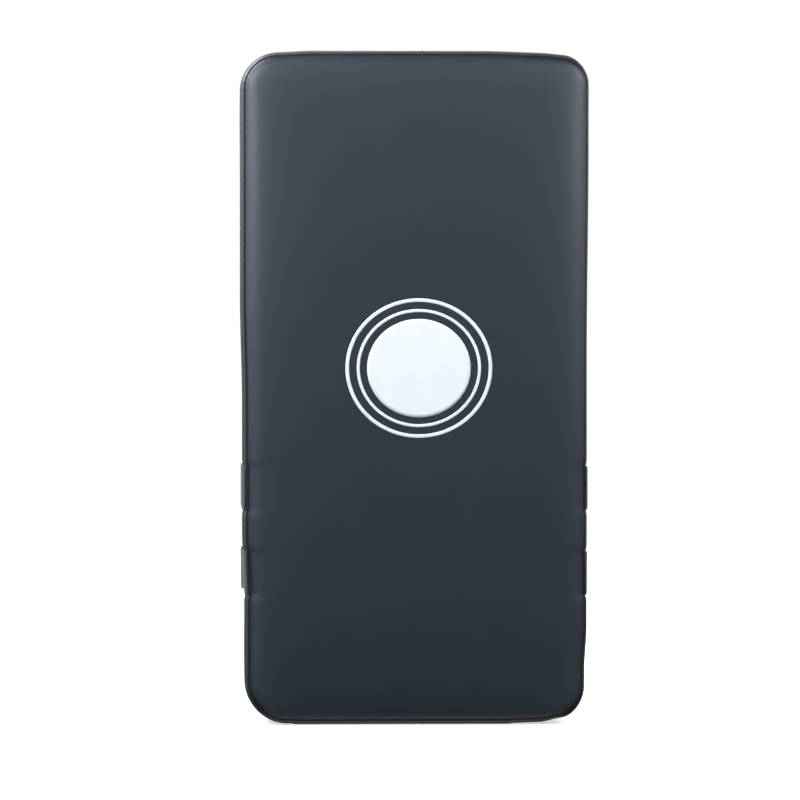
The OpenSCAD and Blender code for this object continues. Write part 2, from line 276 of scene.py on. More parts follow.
def grid_edge(grid):
    """Indices of a grid's outer vertices in the loop's order, and of all its vertices."""
    index = np.arange(grid.shape[0] * grid.shape[1]).reshape(grid.shape[:2])
    parts = [index[0, :-1], index[:-1, -1], index[-1, :0:-1], index[:0:-1, 0]]
    return np.concatenate(parts), index


def grid_faces(index):
    """Quads of a grid of vertex indices."""
    corners = index[:-1, :-1], index[:-1, 1:], index[1:, 1:], index[1:, :-1]
    return np.stack(corners, -1).reshape(-1, 4).tolist()


def loops_of(rows, count, start=0):
    """Vertex indices of rows of loops with count points each."""
    return list(np.arange(rows * count).reshape(rows, count) + start)


def ring_faces(first, second):
    """Quads between two closed rings of vertex indices."""
    a, b = np.asarray(first), np.asarray(second)
    return np.stack([a, np.roll(a, -1), np.roll(b, -1), b], 1).tolist()


def fan_faces(fine, coarse):
    """Faces between a ring and one with half as many points."""
    a, b = np.asarray(fine), np.asarray(coarse)
    a0, a1, a2 = a[::2], a[1::2], np.roll(a, -2)[::2]
    b1 = np.roll(b, -1)
    return (np.stack([a0, a1, b], 1).tolist() + np.stack([a1, b1, b], 1).tolist()
            + np.stack([a1, a2, b1], 1).tolist())


def face_mesh(border, grid, thin):
    """Vertices and faces of one face of the cover: its border rings, a fan where the rings get coarser,
    and the grid."""
    count = border.shape[1]
    kept = len(border) - 1
    edge, index = grid_edge(grid)
    start = kept * count
    ring = loops_of(kept, count)
    faces = []
    for k in range(kept - 1):
        faces += ring_faces(ring[k], ring[k + 1])
    between = ring_faces if thin == 1 else fan_faces
    faces += between(ring[-1], edge + start) + grid_faces(index + start)
    return np.concatenate([border[:kept].reshape(-1, 3), grid.reshape(-1, 3)]), faces


def flipped(faces):
    return [face[::-1] for face in faces]


# ---------------------------------------------------------------- cloth
CLOTH = {
    "quality": 6,
    "mass": 0.4,
    "tension_stiffness": 40,
    "compression_stiffness": 40,
    "shear_stiffness": 15,
    "bending_stiffness": 4,
    "air_damping": 4,
    "use_pressure": True,
    "uniform_pressure_force": 4,
    "pin_stiffness": 6,
}
CLOTH_FRAMES = 20
# No point travels further than this
CLOTH_CAP = 3 * MM
# How firmly the foam holds a face's middle, and over how many cells that hold sets in
FACE_HOLD = 0.6
HOLD_CELLS = 16
# Shares of the cloth's travel that are kept
FACE_SWELL = 0.6
GUSSET_RELIEF = 0.5
WAVES_ACROSS, WAVES_UP = 4, 5
WAVE_START = 70 * MM


def coarse_cover():
    quarter = math.pi / 2
    roll = [0, 0.4 * quarter, 0.75 * quarter]
    return Cover(1, roll, [18.2 * MM, FLAT_INSET], [0, 0.45 * quarter, quarter], 5)


def puffed(cover):
    """Cloth-simulates the closed coarse cover under pressure and returns how far each of its points moves:
    arrays like front, gusset, back, front_grid and back_grid."""
    shapes = [cover.front[:-1], cover.gusset[1:-1], cover.back[:-1], cover.front_grid, cover.back_grid]
    starts = np.cumsum([0] + [s.size // 3 for s in shapes])
    ring, side, rear = (loops_of(len(s), AROUND, start) for s, start in zip(shapes[:3], starts))
    edge, index = grid_edge(cover.front_grid)
    chain = [edge + starts[3]] + ring[::-1] + side + rear + [edge + starts[4]]
    faces = []
    for a, b in zip(chain, chain[1:]):
        faces += flipped(ring_faces(a, b))
    faces += grid_faces(index + starts[3])
    faces += flipped(grid_faces(index + starts[4]))
    before = np.concatenate([s.reshape(-1, 3) for s in shapes])
    body = new_object("cloth_cover", before, faces, None)
    hold = body.vertex_groups.new(name="hold")
    seams = np.concatenate([ring[0], rear[0]]).tolist()
    hold.add(seams, 1.0, "REPLACE")
    for k in range(1, min(index.shape) // 2):
        band = np.concatenate([index[k, k:-k], index[-k - 1, k:-k], index[k:-k, k], index[k:-k, -k - 1]])
        both = np.concatenate([band + starts[3], band + starts[4]]).tolist()
        hold.add(both, float(FACE_HOLD * smooth(k / HOLD_CELLS)), "REPLACE")
    cloth = body.modifiers.new("cloth", "CLOTH")
    for key, value in CLOTH.items():
        setattr(cloth.settings, key, value)
    cloth.settings.vertex_group_mass = "hold"
    cloth.settings.effector_weights.gravity = 0
    cloth.collision_settings.use_collision = False
    for number in range(1, CLOTH_FRAMES + 1):
        SCENE.frame_set(number)
    graph = bpy.context.evaluated_depsgraph_get()
    after = np.empty(len(before) * 3, np.float32)
    body.evaluated_get(graph).data.vertices.foreach_get("co", after)
    SCENE.frame_set(1)
    bpy.data.objects.remove(body)
    moved = after.reshape(-1, 3).astype(float) - before
    reach = np.linalg.norm(moved, axis=1, keepdims=True)
    moved = moved / np.maximum(reach, 1e-9) * CLOTH_CAP * np.tanh(reach / CLOTH_CAP)
    parts = [moved[a:b].reshape(s.shape) for a, b, s in zip(starts, starts[1:], shapes)]
    front, gusset, back, front_grid, back_grid = parts
    gusset = GUSSET_RELIEF * (gusset - averaged(gusset, CORNER_CELLS))
    front, back = front - averaged(front, CORNER_CELLS), back - averaged(back, CORNER_CELLS)
    still = np.zeros((1, AROUND, 3))
    return {
        "front": np.concatenate([front, front_grid.reshape(-1, 3)[edge][None]]),
        "gusset": np.concatenate([still, gusset, still]),
        "back": np.concatenate([back, back_grid.reshape(-1, 3)[edge][None]]),
        "front_grid": front_grid,
        "back_grid": back_grid,
    }


def averaged(values, reach):
    """Mean over reach cells either way along the closed loop, so that what is left is the local relief."""
    return sum(np.roll(values, shift, axis=1) for shift in range(-reach, reach + 1)) / (2 * reach + 1)


def refined(values, factor):
    """Values along a closed loop, the first axis, at factor times the fineness, on a smooth curve."""
    count = len(values)
    where = np.arange(count * factor) / factor
    cell = where.astype(int)
    t = (where - cell).reshape((-1,) + (1,) * (values.ndim - 1))
    p0, p1, p2, p3 = (values[(cell + shift) % count] for shift in (-1, 0, 1, 2))
    return p1 + t / 2 * (p2 - p0 + t * (2 * p0 - 5 * p1 + 4 * p2 - p3 + t * (3 * (p1 - p2) + p3 - p0)))


def waves(grid):
    """Smooth shapes over a face which are still at its edge: (row, column, shape)."""
    x, z = grid[..., 0], grid[..., 2]
    u = np.minimum(x - x[:, :1], x[:, -1:] - x)
    v = np.minimum(z - z[:1], z[-1:] - z)
    free = smooth(u / WAVE_START) * smooth(v / WAVE_START)
    across = [np.cos(i * math.pi * (x / WIDEST + 1) / 2) for i in range(WAVES_ACROSS)]
    up = [np.cos(j * math.pi * z / HEIGHT) for j in range(WAVES_UP)]
    return np.stack([free * a * b for a in across for b in up], -1)


def spread(travel, coarse_grid, fine_grid):
    """The cloth's travel out of a face, from the coarse grid to the fine one, as the waves nearest to it."""
    shapes = waves(coarse_grid).reshape(-1, WAVES_ACROSS * WAVES_UP)
    heights = np.linalg.lstsq(shapes, travel[..., 1].ravel(), rcond=None)[0]
    moved = np.zeros_like(fine_grid)
    moved[..., 1] = waves(fine_grid) @ heights
    return moved


def along_section(values, coarse_length, fine_length):
    """Values (ring, loop, xyz) from the coarse section's rings to the fine one's, on a smooth curve."""
    share = fine_length / fine_length[-1] * coarse_length[-1]
    cell = np.clip(np.searchsorted(coarse_length, share, side="right") - 1, 0, len(coarse_length) - 2)
    span = (coarse_length[cell + 1] - coarse_length[cell])[:, None, None]
    t = (share - coarse_length[cell])[:, None, None] / span
    slopes = np.gradient(values, coarse_length, axis=0)
    a, b = values[cell], values[cell + 1]
    ma, mb = slopes[cell] * span, slopes[cell + 1] * span
    return a + ma * t + (3 * (b - a) - 2 * ma - mb) * t ** 2 + (2 * (a - b) + ma + mb) * t ** 3


def narrowed(z, steps):
    return sum(distance * smooth((start - z) / span) for distance, start, span in steps)


def at_corners(x, steps):
    return sum(height * smooth((side * x - start) / span)
               for side, (height, start, span) in zip((1, -1), steps))


def settle(points):
    """How the filled cover hangs: it narrows downwards, its corners droop or lift a little, and the forearm
    straps press into its sides."""
    x, y, z = points[..., 0], points[..., 1], points[..., 2]
    side = smooth((np.abs(x) - 60 * MM) / (90 * MM))
    left, right = narrowed(z, LEFT_NARROWS) * (x < 0), narrowed(z, RIGHT_NARROWS) * (x > 0)
    for name, left_dent, right_dent in STRAP_DENTS:
        a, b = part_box(name)
        pressed = smooth(1.3 - (np.abs(z - (a.z + b.z) / 2) - STRAP_HALF) / STRAP_EASE)
        left = left + left_dent * pressed * (x < 0)
        right = right + right_dent * pressed * (x > 0)
    slant = np.exp(-((x - SLANT_X) / SLANT_W) ** 2)
    lift = (at_corners(x, LIFTS) + SLANT_LIFT * slant) * smooth((CORNER_FADE - z) / CORNER_FADE)
    droop = at_corners(x, DROOPS) + SLANT_DROOP * slant
    wave = WAVE_HEIGHT * (np.sin(21 * x + 1.3) * np.sin(13 * z + 0.4) + 0.6 * np.sin(9 * x - 17 * z + 2.0))
    face = smooth((np.abs(y) - 50 * MM) / (8 * MM)) * np.sign(y)
    sag = SAG * smooth((SAG_REACH - z) / SAG_REACH)
    moved_z = z - droop * smooth((z - 0.5) / CORNER_FADE) + lift - sag * (lift < 0.1 * MM)
    return np.stack([x + side * (left - right), y + wave * face, np.maximum(moved_z, 0)], -1)


# How far round them the zip and the grip's patches hold the arm side flat
HOLD_REACH = 26 * MM


def held_flat(points):
    """Draws the arm side flat round the zip and under the grip's patches, which hold the vinyl down."""
    x, z = points[..., 0], points[..., 2]
    held = np.zeros_like(x)
    for name in ("zip_seam_thread", "grip_backing_left", "grip_backing_right"):
        a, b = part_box(name)
        away_x = np.maximum(np.maximum(a.x - x, x - b.x), 0)
        away_z = np.maximum(np.maximum(a.z - z, z - b.z), 0)
        held = np.maximum(held, smooth(1 - np.hypot(away_x, away_z) / HOLD_REACH))
    held = held * smooth((points[..., 1] - BACK_Y) / (2 * MM) + 1)
    moved = points.copy()
    moved[..., 1] += (BACK_Y - points[..., 1]) * held
    return moved


def groove(cover_rings, length_to_seam, step, sign):
    """Draws the rings nearest a seam into its groove, deeper at each stitch hole."""
    points, normals = outline(step)
    place = run_along(np.concatenate([points, points[:1]]))
    pitch = place[-1] / round(place[-1] / STITCH_PITCH)
    holes = 0.5 - 0.5 * np.cos(2 * np.pi * place[:-1] / pitch)
    dip = GROOVE * np.exp(-(length_to_seam / GROOVE_W) ** 2)
    tuck = PUCKER * np.exp(-((length_to_seam - 1.6 * MM) / (2.2 * MM)) ** 2)
    inward = dip[:, None] + tuck[:, None] * holes[None]
    moved = cover_rings.copy()
    moved[..., 0] -= inward * normals[None, :, 0]
    moved[..., 2] -= inward * normals[None, :, 1]
    moved[..., 1] -= sign * 0.5 * tuck[:, None] * holes[None]
    return moved


def fine_cover():
    """The cover's outer surface with the cloth's travel, seam grooves and settling, as named point arrays."""
    roll = np.radians((0, 4, 8, 13, 19, 27, 37, 49, 62, 76, 90))
    puff = np.radians((0, 6, 12, 19, 27, 37, 49, 62, 76, 90))
    fine = Cover(4, roll, [12.7 * MM, 16.2 * MM, 20.2 * MM, FLAT_INSET], puff, 6)
    shapes = {name: getattr(fine, name) for name in ("front", "gusset", "back", "front_grid", "back_grid")}
    coarse = coarse_cover()
    travel = puffed(coarse)
    sections = {"front": (coarse.face[2], fine.face[2]), "back": (coarse.face[2], fine.face[2]),
                "gusset": (coarse.side[2], fine.side[2])}
    for name, (coarse_length, fine_length) in sections.items():
        moved = along_section(travel[name], coarse_length, fine_length)
        moved = refined(moved.transpose(1, 0, 2), fine.step).transpose(1, 0, 2)
        if name != "gusset":
            moved = moved * (1 - smooth(fine_length / fine_length[-1]))[:, None, None]
        shapes[name] = shapes[name] + moved
    for name in ("front_grid", "back_grid"):
        moved = spread(travel[name], getattr(coarse, name), getattr(fine, name))
        shapes[name] = shapes[name] + FACE_SWELL * moved
    side_length = fine.side[2]
    to_seam = np.minimum(side_length, side_length[-1] - side_length)
    grooves = (("front", fine.face[2], -1), ("back", fine.face[2], 1), ("gusset", to_seam, 0))
    for name, from_seam, sign in grooves:
        shapes[name] = groove(shapes[name], from_seam, fine.step, sign)
    shapes = {name: settle(points) for name, points in shapes.items()}
    for name in ("back", "back_grid"):
        shapes[name] = held_flat(shapes[name])
    return fine, shapes


# ---------------------------------------------------------------- making objects
def new_object(name, vertices, faces, material, uv=None, shade_smooth=True):
    mesh = bpy.data.meshes.new(name)
    mesh.from_pydata([tuple(v) for v in np.asarray(vertices, float)], [], faces)
    if shade_smooth:
        mesh.polygons.foreach_set("use_smooth", [True] * len(mesh.polygons))
    if uv is not None:
        layer = mesh.uv_layers.new(name="metric")
        loops = np.empty(len(mesh.loops), np.int32)
        mesh.loops.foreach_get("vertex_index", loops)
        layer.data.foreach_set("uv", np.asarray(uv, np.float32)[loops].ravel())
    mesh.update()
    made = bpy.data.objects.new(name, mesh)
    SCENE.collection.objects.link(made)
    if material is not None:
        mesh.materials.append(material)
    return made


def applied(piece):
    """Applies a piece's modifiers to its mesh."""
    graph = bpy.context.evaluated_depsgraph_get()
    made = bpy.data.meshes.new_from_object(piece.evaluated_get(graph))
    old = piece.data
    piece.modifiers.clear()
    piece.data = made
    bpy.data.meshes.remove(old)
    return piece


def thickened(piece, thickness):
    """Gives a single surface its thickness, inwards."""
    solid = piece.modifiers.new("solid", "SOLIDIFY")
    solid.thickness = thickness
    solid.offset = -1
    solid.use_even_offset = False
    return applied(piece)


def facing_out(piece):
    """Turns all normals outwards."""
    work = bmesh.new()
    work.from_mesh(piece.data)
    bmesh.ops.recalc_face_normals(work, faces=work.faces)
    work.to_mesh(piece.data)
    work.free()
    return piece


def tree_of(*pieces):
    """Search tree over pieces, for laying things on them."""
    vertices, faces = [], []
    for piece in pieces:
        start = len(vertices)
        vertices += [v.co.copy() for v in piece.data.vertices]
        faces += [[start + i for i in p.vertices] for p in piece.data.polygons]
    return BVHTree.FromPolygons(vertices, faces)


def placed(piece, body, slot, *nodes):
    """Rides on a body and stands for CAD nodes, which it hides. Its slot is not used."""
    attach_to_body(piece, body)
    finished(piece, slot, *nodes)
    return piece


def finished(piece, slot, *nodes):
    if nodes:
        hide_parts(*nodes)
    return piece


# ---------------------------------------------------------------- materials
def node(tree, kind, values=None, **settings):
    """A shader node. A value that is a socket is linked, and any other is set."""
    made = tree.nodes.new("ShaderNode" + kind)
    for key, value in settings.items():
        setattr(made, key, value)
    for key, value in (values or {}).items():
        if isinstance(value, bpy.types.NodeSocket):
            tree.links.new(value, made.inputs[key])
        else:
            made.inputs[key].default_value = value
    return made


def start_material(name, **sockets):
    """A material with its Principled shader's plain values set, and its object coordinates in metres."""
    made = bpy.data.materials.new(name)
    made.use_nodes = True
    tree = made.node_tree
    shader = tree.nodes["Principled BSDF"]
    for key, value in sockets.items():
        shader.inputs[key.replace("_", " ")].default_value = value
    where = node(tree, "TexCoord").outputs["Object"]
    return made, tree, shader, where


def noise(tree, where, scale, detail=3.0, rough=0.55):
    values = {"Vector": where, "Scale": scale, "Detail": detail, "Roughness": rough}
    return node(tree, "TexNoise", values).outputs["Fac"]


def remap(tree, value, low_in, high_in, low_out, high_out):
    made = node(tree, "MapRange", {"Value": value, "From Min": low_in, "From Max": high_in,
                                   "To Min": low_out, "To Max": high_out})
    return made.outputs["Result"]


def maths(tree, operation, first, second=0.0):
    return node(tree, "Math", {0: first, 1: second}, operation=operation).outputs[0]


def blended(tree, share, first, second):
    """One colour mixed into another. Each is a socket or three plain values."""
    made = node(tree, "Mix", {"Factor": share}, data_type="RGBA")
    for key, value in ((6, first), (7, second)):
        if isinstance(value, bpy.types.NodeSocket):
            tree.links.new(value, made.inputs[key])
        else:
            made.inputs[key].default_value = (*value, 1)
    return made.outputs[2]


def mottled(tree, tone, dark, light):
    """Dark and light mixed by a noise, over the middle of its range."""
    return blended(tree, remap(tree, tone, 0.3, 0.7, 0, 1), dark, light)


def bumped(tree, height, distance, strength=1.0, under=None):
    values = {"Height": height, "Distance": distance, "Strength": strength}
    if under is not None:
        values["Normal"] = under
    return node(tree, "Bump", values).outputs["Normal"]


def attach(tree, shader, **sources):
    for key, source in sources.items():
        tree.links.new(source, shader.inputs[key.replace("_", " ")])


def vinyl(name, dark, light, worn, grain_size, grain_depth, rough, gloss=0.5):
    """Coated cloth: fine pebbled grain, soft mottling, paler rubbed edges, and painted shade in the seam
    grooves.
    """
    made, tree, shader, where = start_material(name, Coat_Weight=0.0)
    cloud = noise(tree, where, 7, 4)
    patch = noise(tree, where, 60, 3)
    colour = mottled(tree, cloud, dark, light)
    colour = blended(tree, remap(tree, patch, 0.35, 0.75, 0, 0.15), colour, light)
    wear = node(tree, "Attribute", attribute_name="wear").outputs["Fac"]
    rubbed = maths(tree, "MULTIPLY", wear, remap(tree, noise(tree, where, 160, 5, 0.7), 0.35, 0.65, 0.35, 1))
    colour = blended(tree, rubbed, colour, worn)
    # Painted shade: the colour is darkened to near black in the seam grooves, standing in for the shadow
    # there.
    seam = node(tree, "Attribute", attribute_name="seam").outputs["Fac"]
    colour = blended(tree, remap(tree, seam, 0, 1, 0, 0.85), colour, (0.004, 0.005, 0.006))
    pebble = node(tree, "TexVoronoi", {"Vector": where, "Scale": 1 / grain_size, "Randomness": 1.0},
                  feature="SMOOTH_F1").outputs["Distance"]
    fine = noise(tree, where, 2.2 / grain_size, 3, 0.6)
    height = maths(tree, "ADD", maths(tree, "MULTIPLY", pebble, -0.8), maths(tree, "MULTIPLY", fine, 0.5))
    swell = noise(tree, where, 28, 2)
    normal = bumped(tree, swell, 0.3 * MM, 0.1)
    normal = bumped(tree, height, grain_depth, 0.7, normal)
    uneven = remap(tree, patch, 0.3, 0.7, rough - 0.01, rough + 0.015)
    attach(tree, shader, Base_Color=colour, Normal=normal,
           # Painted shade: the gloss drops in the seam grooves as well, so they stay dark under the lamps.
           Specular_IOR_Level=remap(tree, seam, 0, 0.8, gloss, 0.04),
           Roughness=maths(tree, "ADD", uneven, maths(tree, "MULTIPLY", rubbed, 0.08)))
    return made


def screen_print(name):
    """White screen ink: slightly uneven, with pinholes where the vinyl's grain shows."""
    made, tree, shader, where = start_material(name, Specular_IOR_Level=0.35)
    tone = remap(tree, noise(tree, where, 45, 4), 0.3, 0.7, 0, 1)
    colour = blended(tree, tone, (0.81, 0.84, 0.86), (0.855, 0.885, 0.91))
    holes = remap(tree, noise(tree, where, 1500, 2, 0.5), 0.70, 0.78, 0, 0.35)
    colour = blended(tree, holes, colour, (0.35, 0.38, 0.42))
    grain = noise(tree, where, 1400, 3, 0.6)
    attach(tree, shader, Base_Color=colour, Normal=bumped(tree, grain, 0.05 * MM, 0.4),
           Roughness=remap(tree, tone, 0, 1, 0.5, 0.62))
    return made


def thread(name, dark, light):
    """Twisted thread: its strands run as slanting stripes round each stitch, dark between the strands as
    painted shade.
    """
    made, tree, shader, where = start_material(name, Specular_IOR_Level=0.4, Sheen_Weight=0.25,
                                               Sheen_Roughness=0.4)
    run = node(tree, "UVMap", uv_map="metric").outputs["UV"]
    strand = node(tree, "TexWave", {"Vector": run, "Scale": 0.55, "Distortion": 0.6, "Detail": 2.0},
                  bands_direction="DIAGONAL").outputs["Fac"]
    fluff = noise(tree, where, 2600, 3, 0.7)
    # Painted shade: the colour follows the strands' height and is darker in the grooves between them; the
    # fluff noise varies it at random.
    colour = blended(tree, maths(tree, "MULTIPLY", strand, remap(tree, fluff, 0.3, 0.7, 0.5, 1)), dark, light)
    attach(tree, shader, Base_Color=colour, Normal=bumped(tree, strand, 0.12 * MM, 0.8),
           Roughness=remap(tree, fluff, 0.3, 0.7, 0.5, 0.75))
    return made


def foam(name, dark, light, cell_size, rough=0.9):
    """Foam: closed or open cells with small pits, darkened there as painted shade."""
    made, tree, shader, where = start_material(name, Specular_IOR_Level=0.3)
    cells = node(tree, "TexVoronoi", {"Vector": where, "Scale": 1 / cell_size}).outputs["Distance"]
    tone = noise(tree, where, 30, 4)
    colour = mottled(tree, tone, dark, light)
    # Painted shade: the colour darkens towards the hollow middle of each cell.
    pit_shade = remap(tree, cells, 0.0, 0.35, 0.6, 0)
    colour = blended(tree, pit_shade, colour, tuple(c * 0.5 for c in dark))
    attach(tree, shader, Base_Color=colour, Normal=bumped(tree, cells, 0.4 * cell_size, 0.6),
           Roughness=remap(tree, tone, 0.3, 0.7, rough - 0.08, rough))
    return made


def woven(name, dark, light, pick, end, slant, depth, rough):
    """Woven band, in its own millimetres: picks across it in a zigzag twill over fine ends along it, with
    painted shade between the yarns and a painted highlight on their tops.
    """
    made, tree, shader, where = start_material(name, Specular_IOR_Level=0.35, Sheen_Weight=0.3,
                                               Sheen_Roughness=0.45)
    run = node(tree, "UVMap", uv_map="metric").outputs["UV"]
    parts = node(tree, "SeparateXYZ", {0: run}).outputs
    zigzag = maths(tree, "PINGPONG", parts["Y"], 6 * end)
    along = maths(tree, "ADD", parts["X"], maths(tree, "MULTIPLY", zigzag, slant))
    picks = maths(tree, "SINE", maths(tree, "MULTIPLY", along, 2 * math.pi / pick))
    ends = maths(tree, "SINE", maths(tree, "MULTIPLY", parts["Y"], 2 * math.pi / end))
    fluff = noise(tree, where, 1800, 3, 0.7)
    height = maths(tree, "ADD", maths(tree, "MULTIPLY", picks, 0.32), maths(tree, "MULTIPLY", ends, 0.18))
    height = maths(tree, "ADD", height, remap(tree, fluff, 0.3, 0.7, 0.4, 0.6))
    worn = remap(tree, noise(tree, where, 55, 4), 0.45, 0.8, 0, 0.3)
    # Painted shade and highlight: the colour follows the weave's height, dark in the hollows and light on the
    # raised yarns.
    colour = blended(tree, remap(tree, height, 0.1, 1.0, 0, 1), dark, light)
    colour = blended(tree, worn, colour, tuple(c * 1.5 for c in light))
    attach(tree, shader, Base_Color=colour, Normal=bumped(tree, height, depth, 0.8),
           Roughness=remap(tree, fluff, 0.3, 0.7, rough - 0.08, rough + 0.08))
    return made


def nylon(name, dark, light, sheen, rough, grain):
    """Extruded nylon fibre or wire: faint streaks and lint."""
    made, tree, shader, where = start_material(name, Specular_IOR_Level=0.45, Sheen_Weight=sheen,
                                               Sheen_Roughness=0.4)
    tone = noise(tree, where, grain, 4, 0.65)
    lint = remap(tree, noise(tree, where, 90, 5, 0.7), 0.58, 0.75, 0, 0.5)
    colour = mottled(tree, tone, dark, light)
    colour = blended(tree, lint, colour, tuple(c * 2 for c in light))
    attach(tree, shader, Base_Color=colour, Normal=bumped(tree, tone, 0.06 * MM, 0.5),
           Roughness=remap(tree, tone, 0.3, 0.7, rough - 0.07, rough + 0.07))
    return made


def plated(name, bright, dull):
    """Nickel plate: handling marks, fine scratches and duller patches."""
    made, tree, shader, where = start_material(name, Metallic=1.0)
    smudge = noise(tree, where, 260, 4, 0.6)
    stretched = node(tree, "Mapping", {"Vector": where, "Scale": (300, 2600, 2600)}).outputs["Vector"]
    scratch = remap(tree, noise(tree, stretched, 1.0, 5, 0.75), 0.55, 0.72, 0, 1)
    colour = blended(tree, remap(tree, smudge, 0.35, 0.7, 0, 1), bright, dull)
    colour = blended(tree, maths(tree, "MULTIPLY", scratch, 0.25), colour, tuple(c * 0.6 for c in dull))
    attach(tree, shader, Base_Color=colour, Normal=bumped(tree, scratch, 0.02 * MM, 0.3),
           Roughness=remap(tree, smudge, 0.3, 0.7, 0.22, 0.4))
    return made


MATERIALS = {
    "front": vinyl("front_vinyl", (0.019, 0.026, 0.038), (0.021, 0.029, 0.042), (0.07, 0.078, 0.09),
                   0.75 * MM, 0.035 * MM, 0.42),
    "gusset": vinyl("gusset_vinyl", (0.049, 0.053, 0.047), (0.058, 0.062, 0.055), (0.10, 0.105, 0.095),
                    0.85 * MM, 0.05 * MM, 0.44),
    "back": vinyl("back_vinyl", (0.022, 0.026, 0.033), (0.029, 0.033, 0.041), (0.06, 0.065, 0.072),
                  1.1 * MM, 0.10 * MM, 0.46),
    "print": screen_print("white_print"),
    "thread": thread("seam_thread", (0.010, 0.011, 0.013), (0.035, 0.037, 0.042)),
    "sewing": thread("strap_thread", (0.045, 0.047, 0.052), (0.12, 0.124, 0.134)),
    "firm_foam": foam("firm_foam", (0.22, 0.23, 0.25), (0.31, 0.32, 0.34), 0.6 * MM, 0.75),
    "core_foam": foam("core_foam", (0.66, 0.67, 0.64), (0.78, 0.78, 0.75), 1.6 * MM, 0.8),
    "soft_foam": foam("soft_foam", (0.24, 0.25, 0.27), (0.34, 0.35, 0.37), 0.9 * MM),
    "grip": vinyl("grip_vinyl", (0.015, 0.017, 0.021), (0.022, 0.025, 0.031), (0.055, 0.058, 0.064),
                  1.3 * MM, 0.14 * MM, 0.5),
    "web": woven("strap_webbing", (0.009, 0.010, 0.012), (0.028, 0.030, 0.034), 1.9, 0.95, 0.55,
                 0.22 * MM, 0.68),
    "tape": woven("zip_tape", (0.010, 0.011, 0.013), (0.026, 0.028, 0.032), 0.9, 0.5, 0.0, 0.1 * MM, 0.7),
    "pile": nylon("loop_pile", (0.010, 0.010, 0.012), (0.028, 0.029, 0.033), 0.6, 0.8, 1500),
    "hooks": nylon("hook_face", (0.008, 0.009, 0.010), (0.022, 0.023, 0.026), 0.1, 0.5, 1100),
    "coil": nylon("zip_coil", (0.008, 0.009, 0.011), (0.022, 0.024, 0.028), 0.05, 0.38, 1300),
    "metal": plated("zip_nickel", (0.72, 0.71, 0.69), (0.52, 0.51, 0.50)),
}


# ---------------------------------------------------------------- the cover
def store(piece, name, values=0.0):
    """Stores a value at each vertex for the vinyl: how rubbed it is (wear) or how deep in a seam (seam),
    which darkens the vinyl there as painted shade.
    """
    values = np.broadcast_to(np.asarray(values, np.float32), len(piece.data.vertices))
    piece.data.attributes.new(name, "FLOAT", "POINT").data.foreach_set("value", np.ascontiguousarray(values))


def seam_shade_depth(vertices, reach):
    """How deep in a seam's groove each vertex lies, where the vinyl gets painted shade: darker colour and
    less gloss.
    """
    return np.exp(-((np.abs(vertices[:, 1]) - BACK_SEAM_Y) / reach) ** 2)


def edge_wear(vertices):
    """Rubbed where a face rolls over into its seam, most of all at the corners."""
    x, y, z = vertices.T
    roll = np.exp(-((np.abs(y) - 57 * MM) / (1.6 * MM)) ** 2)
    to_corner = np.hypot(HALF_W - np.abs(x), np.minimum(z, HEIGHT - z))
    return roll * (0.10 + 0.35 * np.exp(-to_corner / (45 * MM)))


def make_faces(fine, shapes):
    pieces = []
    for name, turned in (("front", False), ("back", True)):
        vertices, faces = face_mesh(shapes[name], shapes[name + "_grid"], fine.thin)
        if turned:
            faces = flipped(faces)
        piece = new_object(name + "_panel_cover", vertices, faces, MATERIALS[name])
        store(piece, "wear", edge_wear(vertices))
        store(piece, "seam", seam_shade_depth(vertices, 2.2 * MM))
        pieces.append(thickened(piece, SKIN_T))
    return pieces


# Stitches of the joints: their pitch, length and thread radius
JOINT_THREAD = (3.3 * MM, 2.5 * MM, 0.27 * MM)
# The turned-in ends of the gusset's halves: (distance from their joint, depth)
JOINT_FOLD = ((0.5 * MM, 0.04 * MM), (0.25 * MM, 0.2 * MM), (0.07 * MM, 0.6 * MM), (0.06 * MM, 3.2 * MM))
# How far from a joint its lines of stitches run
JOINT_STITCHES = 4.2 * MM


def turned_in(end, away):
    """The end of a gusset half, folded in where it meets the other half: (row, column, xyz)."""
    inward = 1 if end[:, 2].mean() < HEIGHT / 2 else -1
    return np.stack([end + np.array([away * a, 0, inward * b]) for a, b in JOINT_FOLD], 1)


def joint_stitches(shapes, fine):
    """A line of stitches either side of the gusset's joints, at the middle of the top and of the bottom."""
    points = shapes["gusset"]
    pitch, length, radius = JOINT_THREAD
    middles, alongs, outs = [], [], []
    for middle in (ACROSS * fine.step // 2, ACROSS * fine.step // 2 + points.shape[1] // 2):
        line = points[2:-2, middle]
        out = np.array([0, 0, -1.0 if line[:, 2].mean() < HEIGHT / 2 else 1.0])
        position, direction = stations(line, pitch)
        for side in (-JOINT_STITCHES, JOINT_STITCHES):
            middles += list(position + np.array([side, 0, 0]))
            alongs += list(direction)
            outs += [out] * len(position)
    return stitches("gusset_joint_stitches", middles, alongs, outs, length, radius, MATERIALS["sewing"])


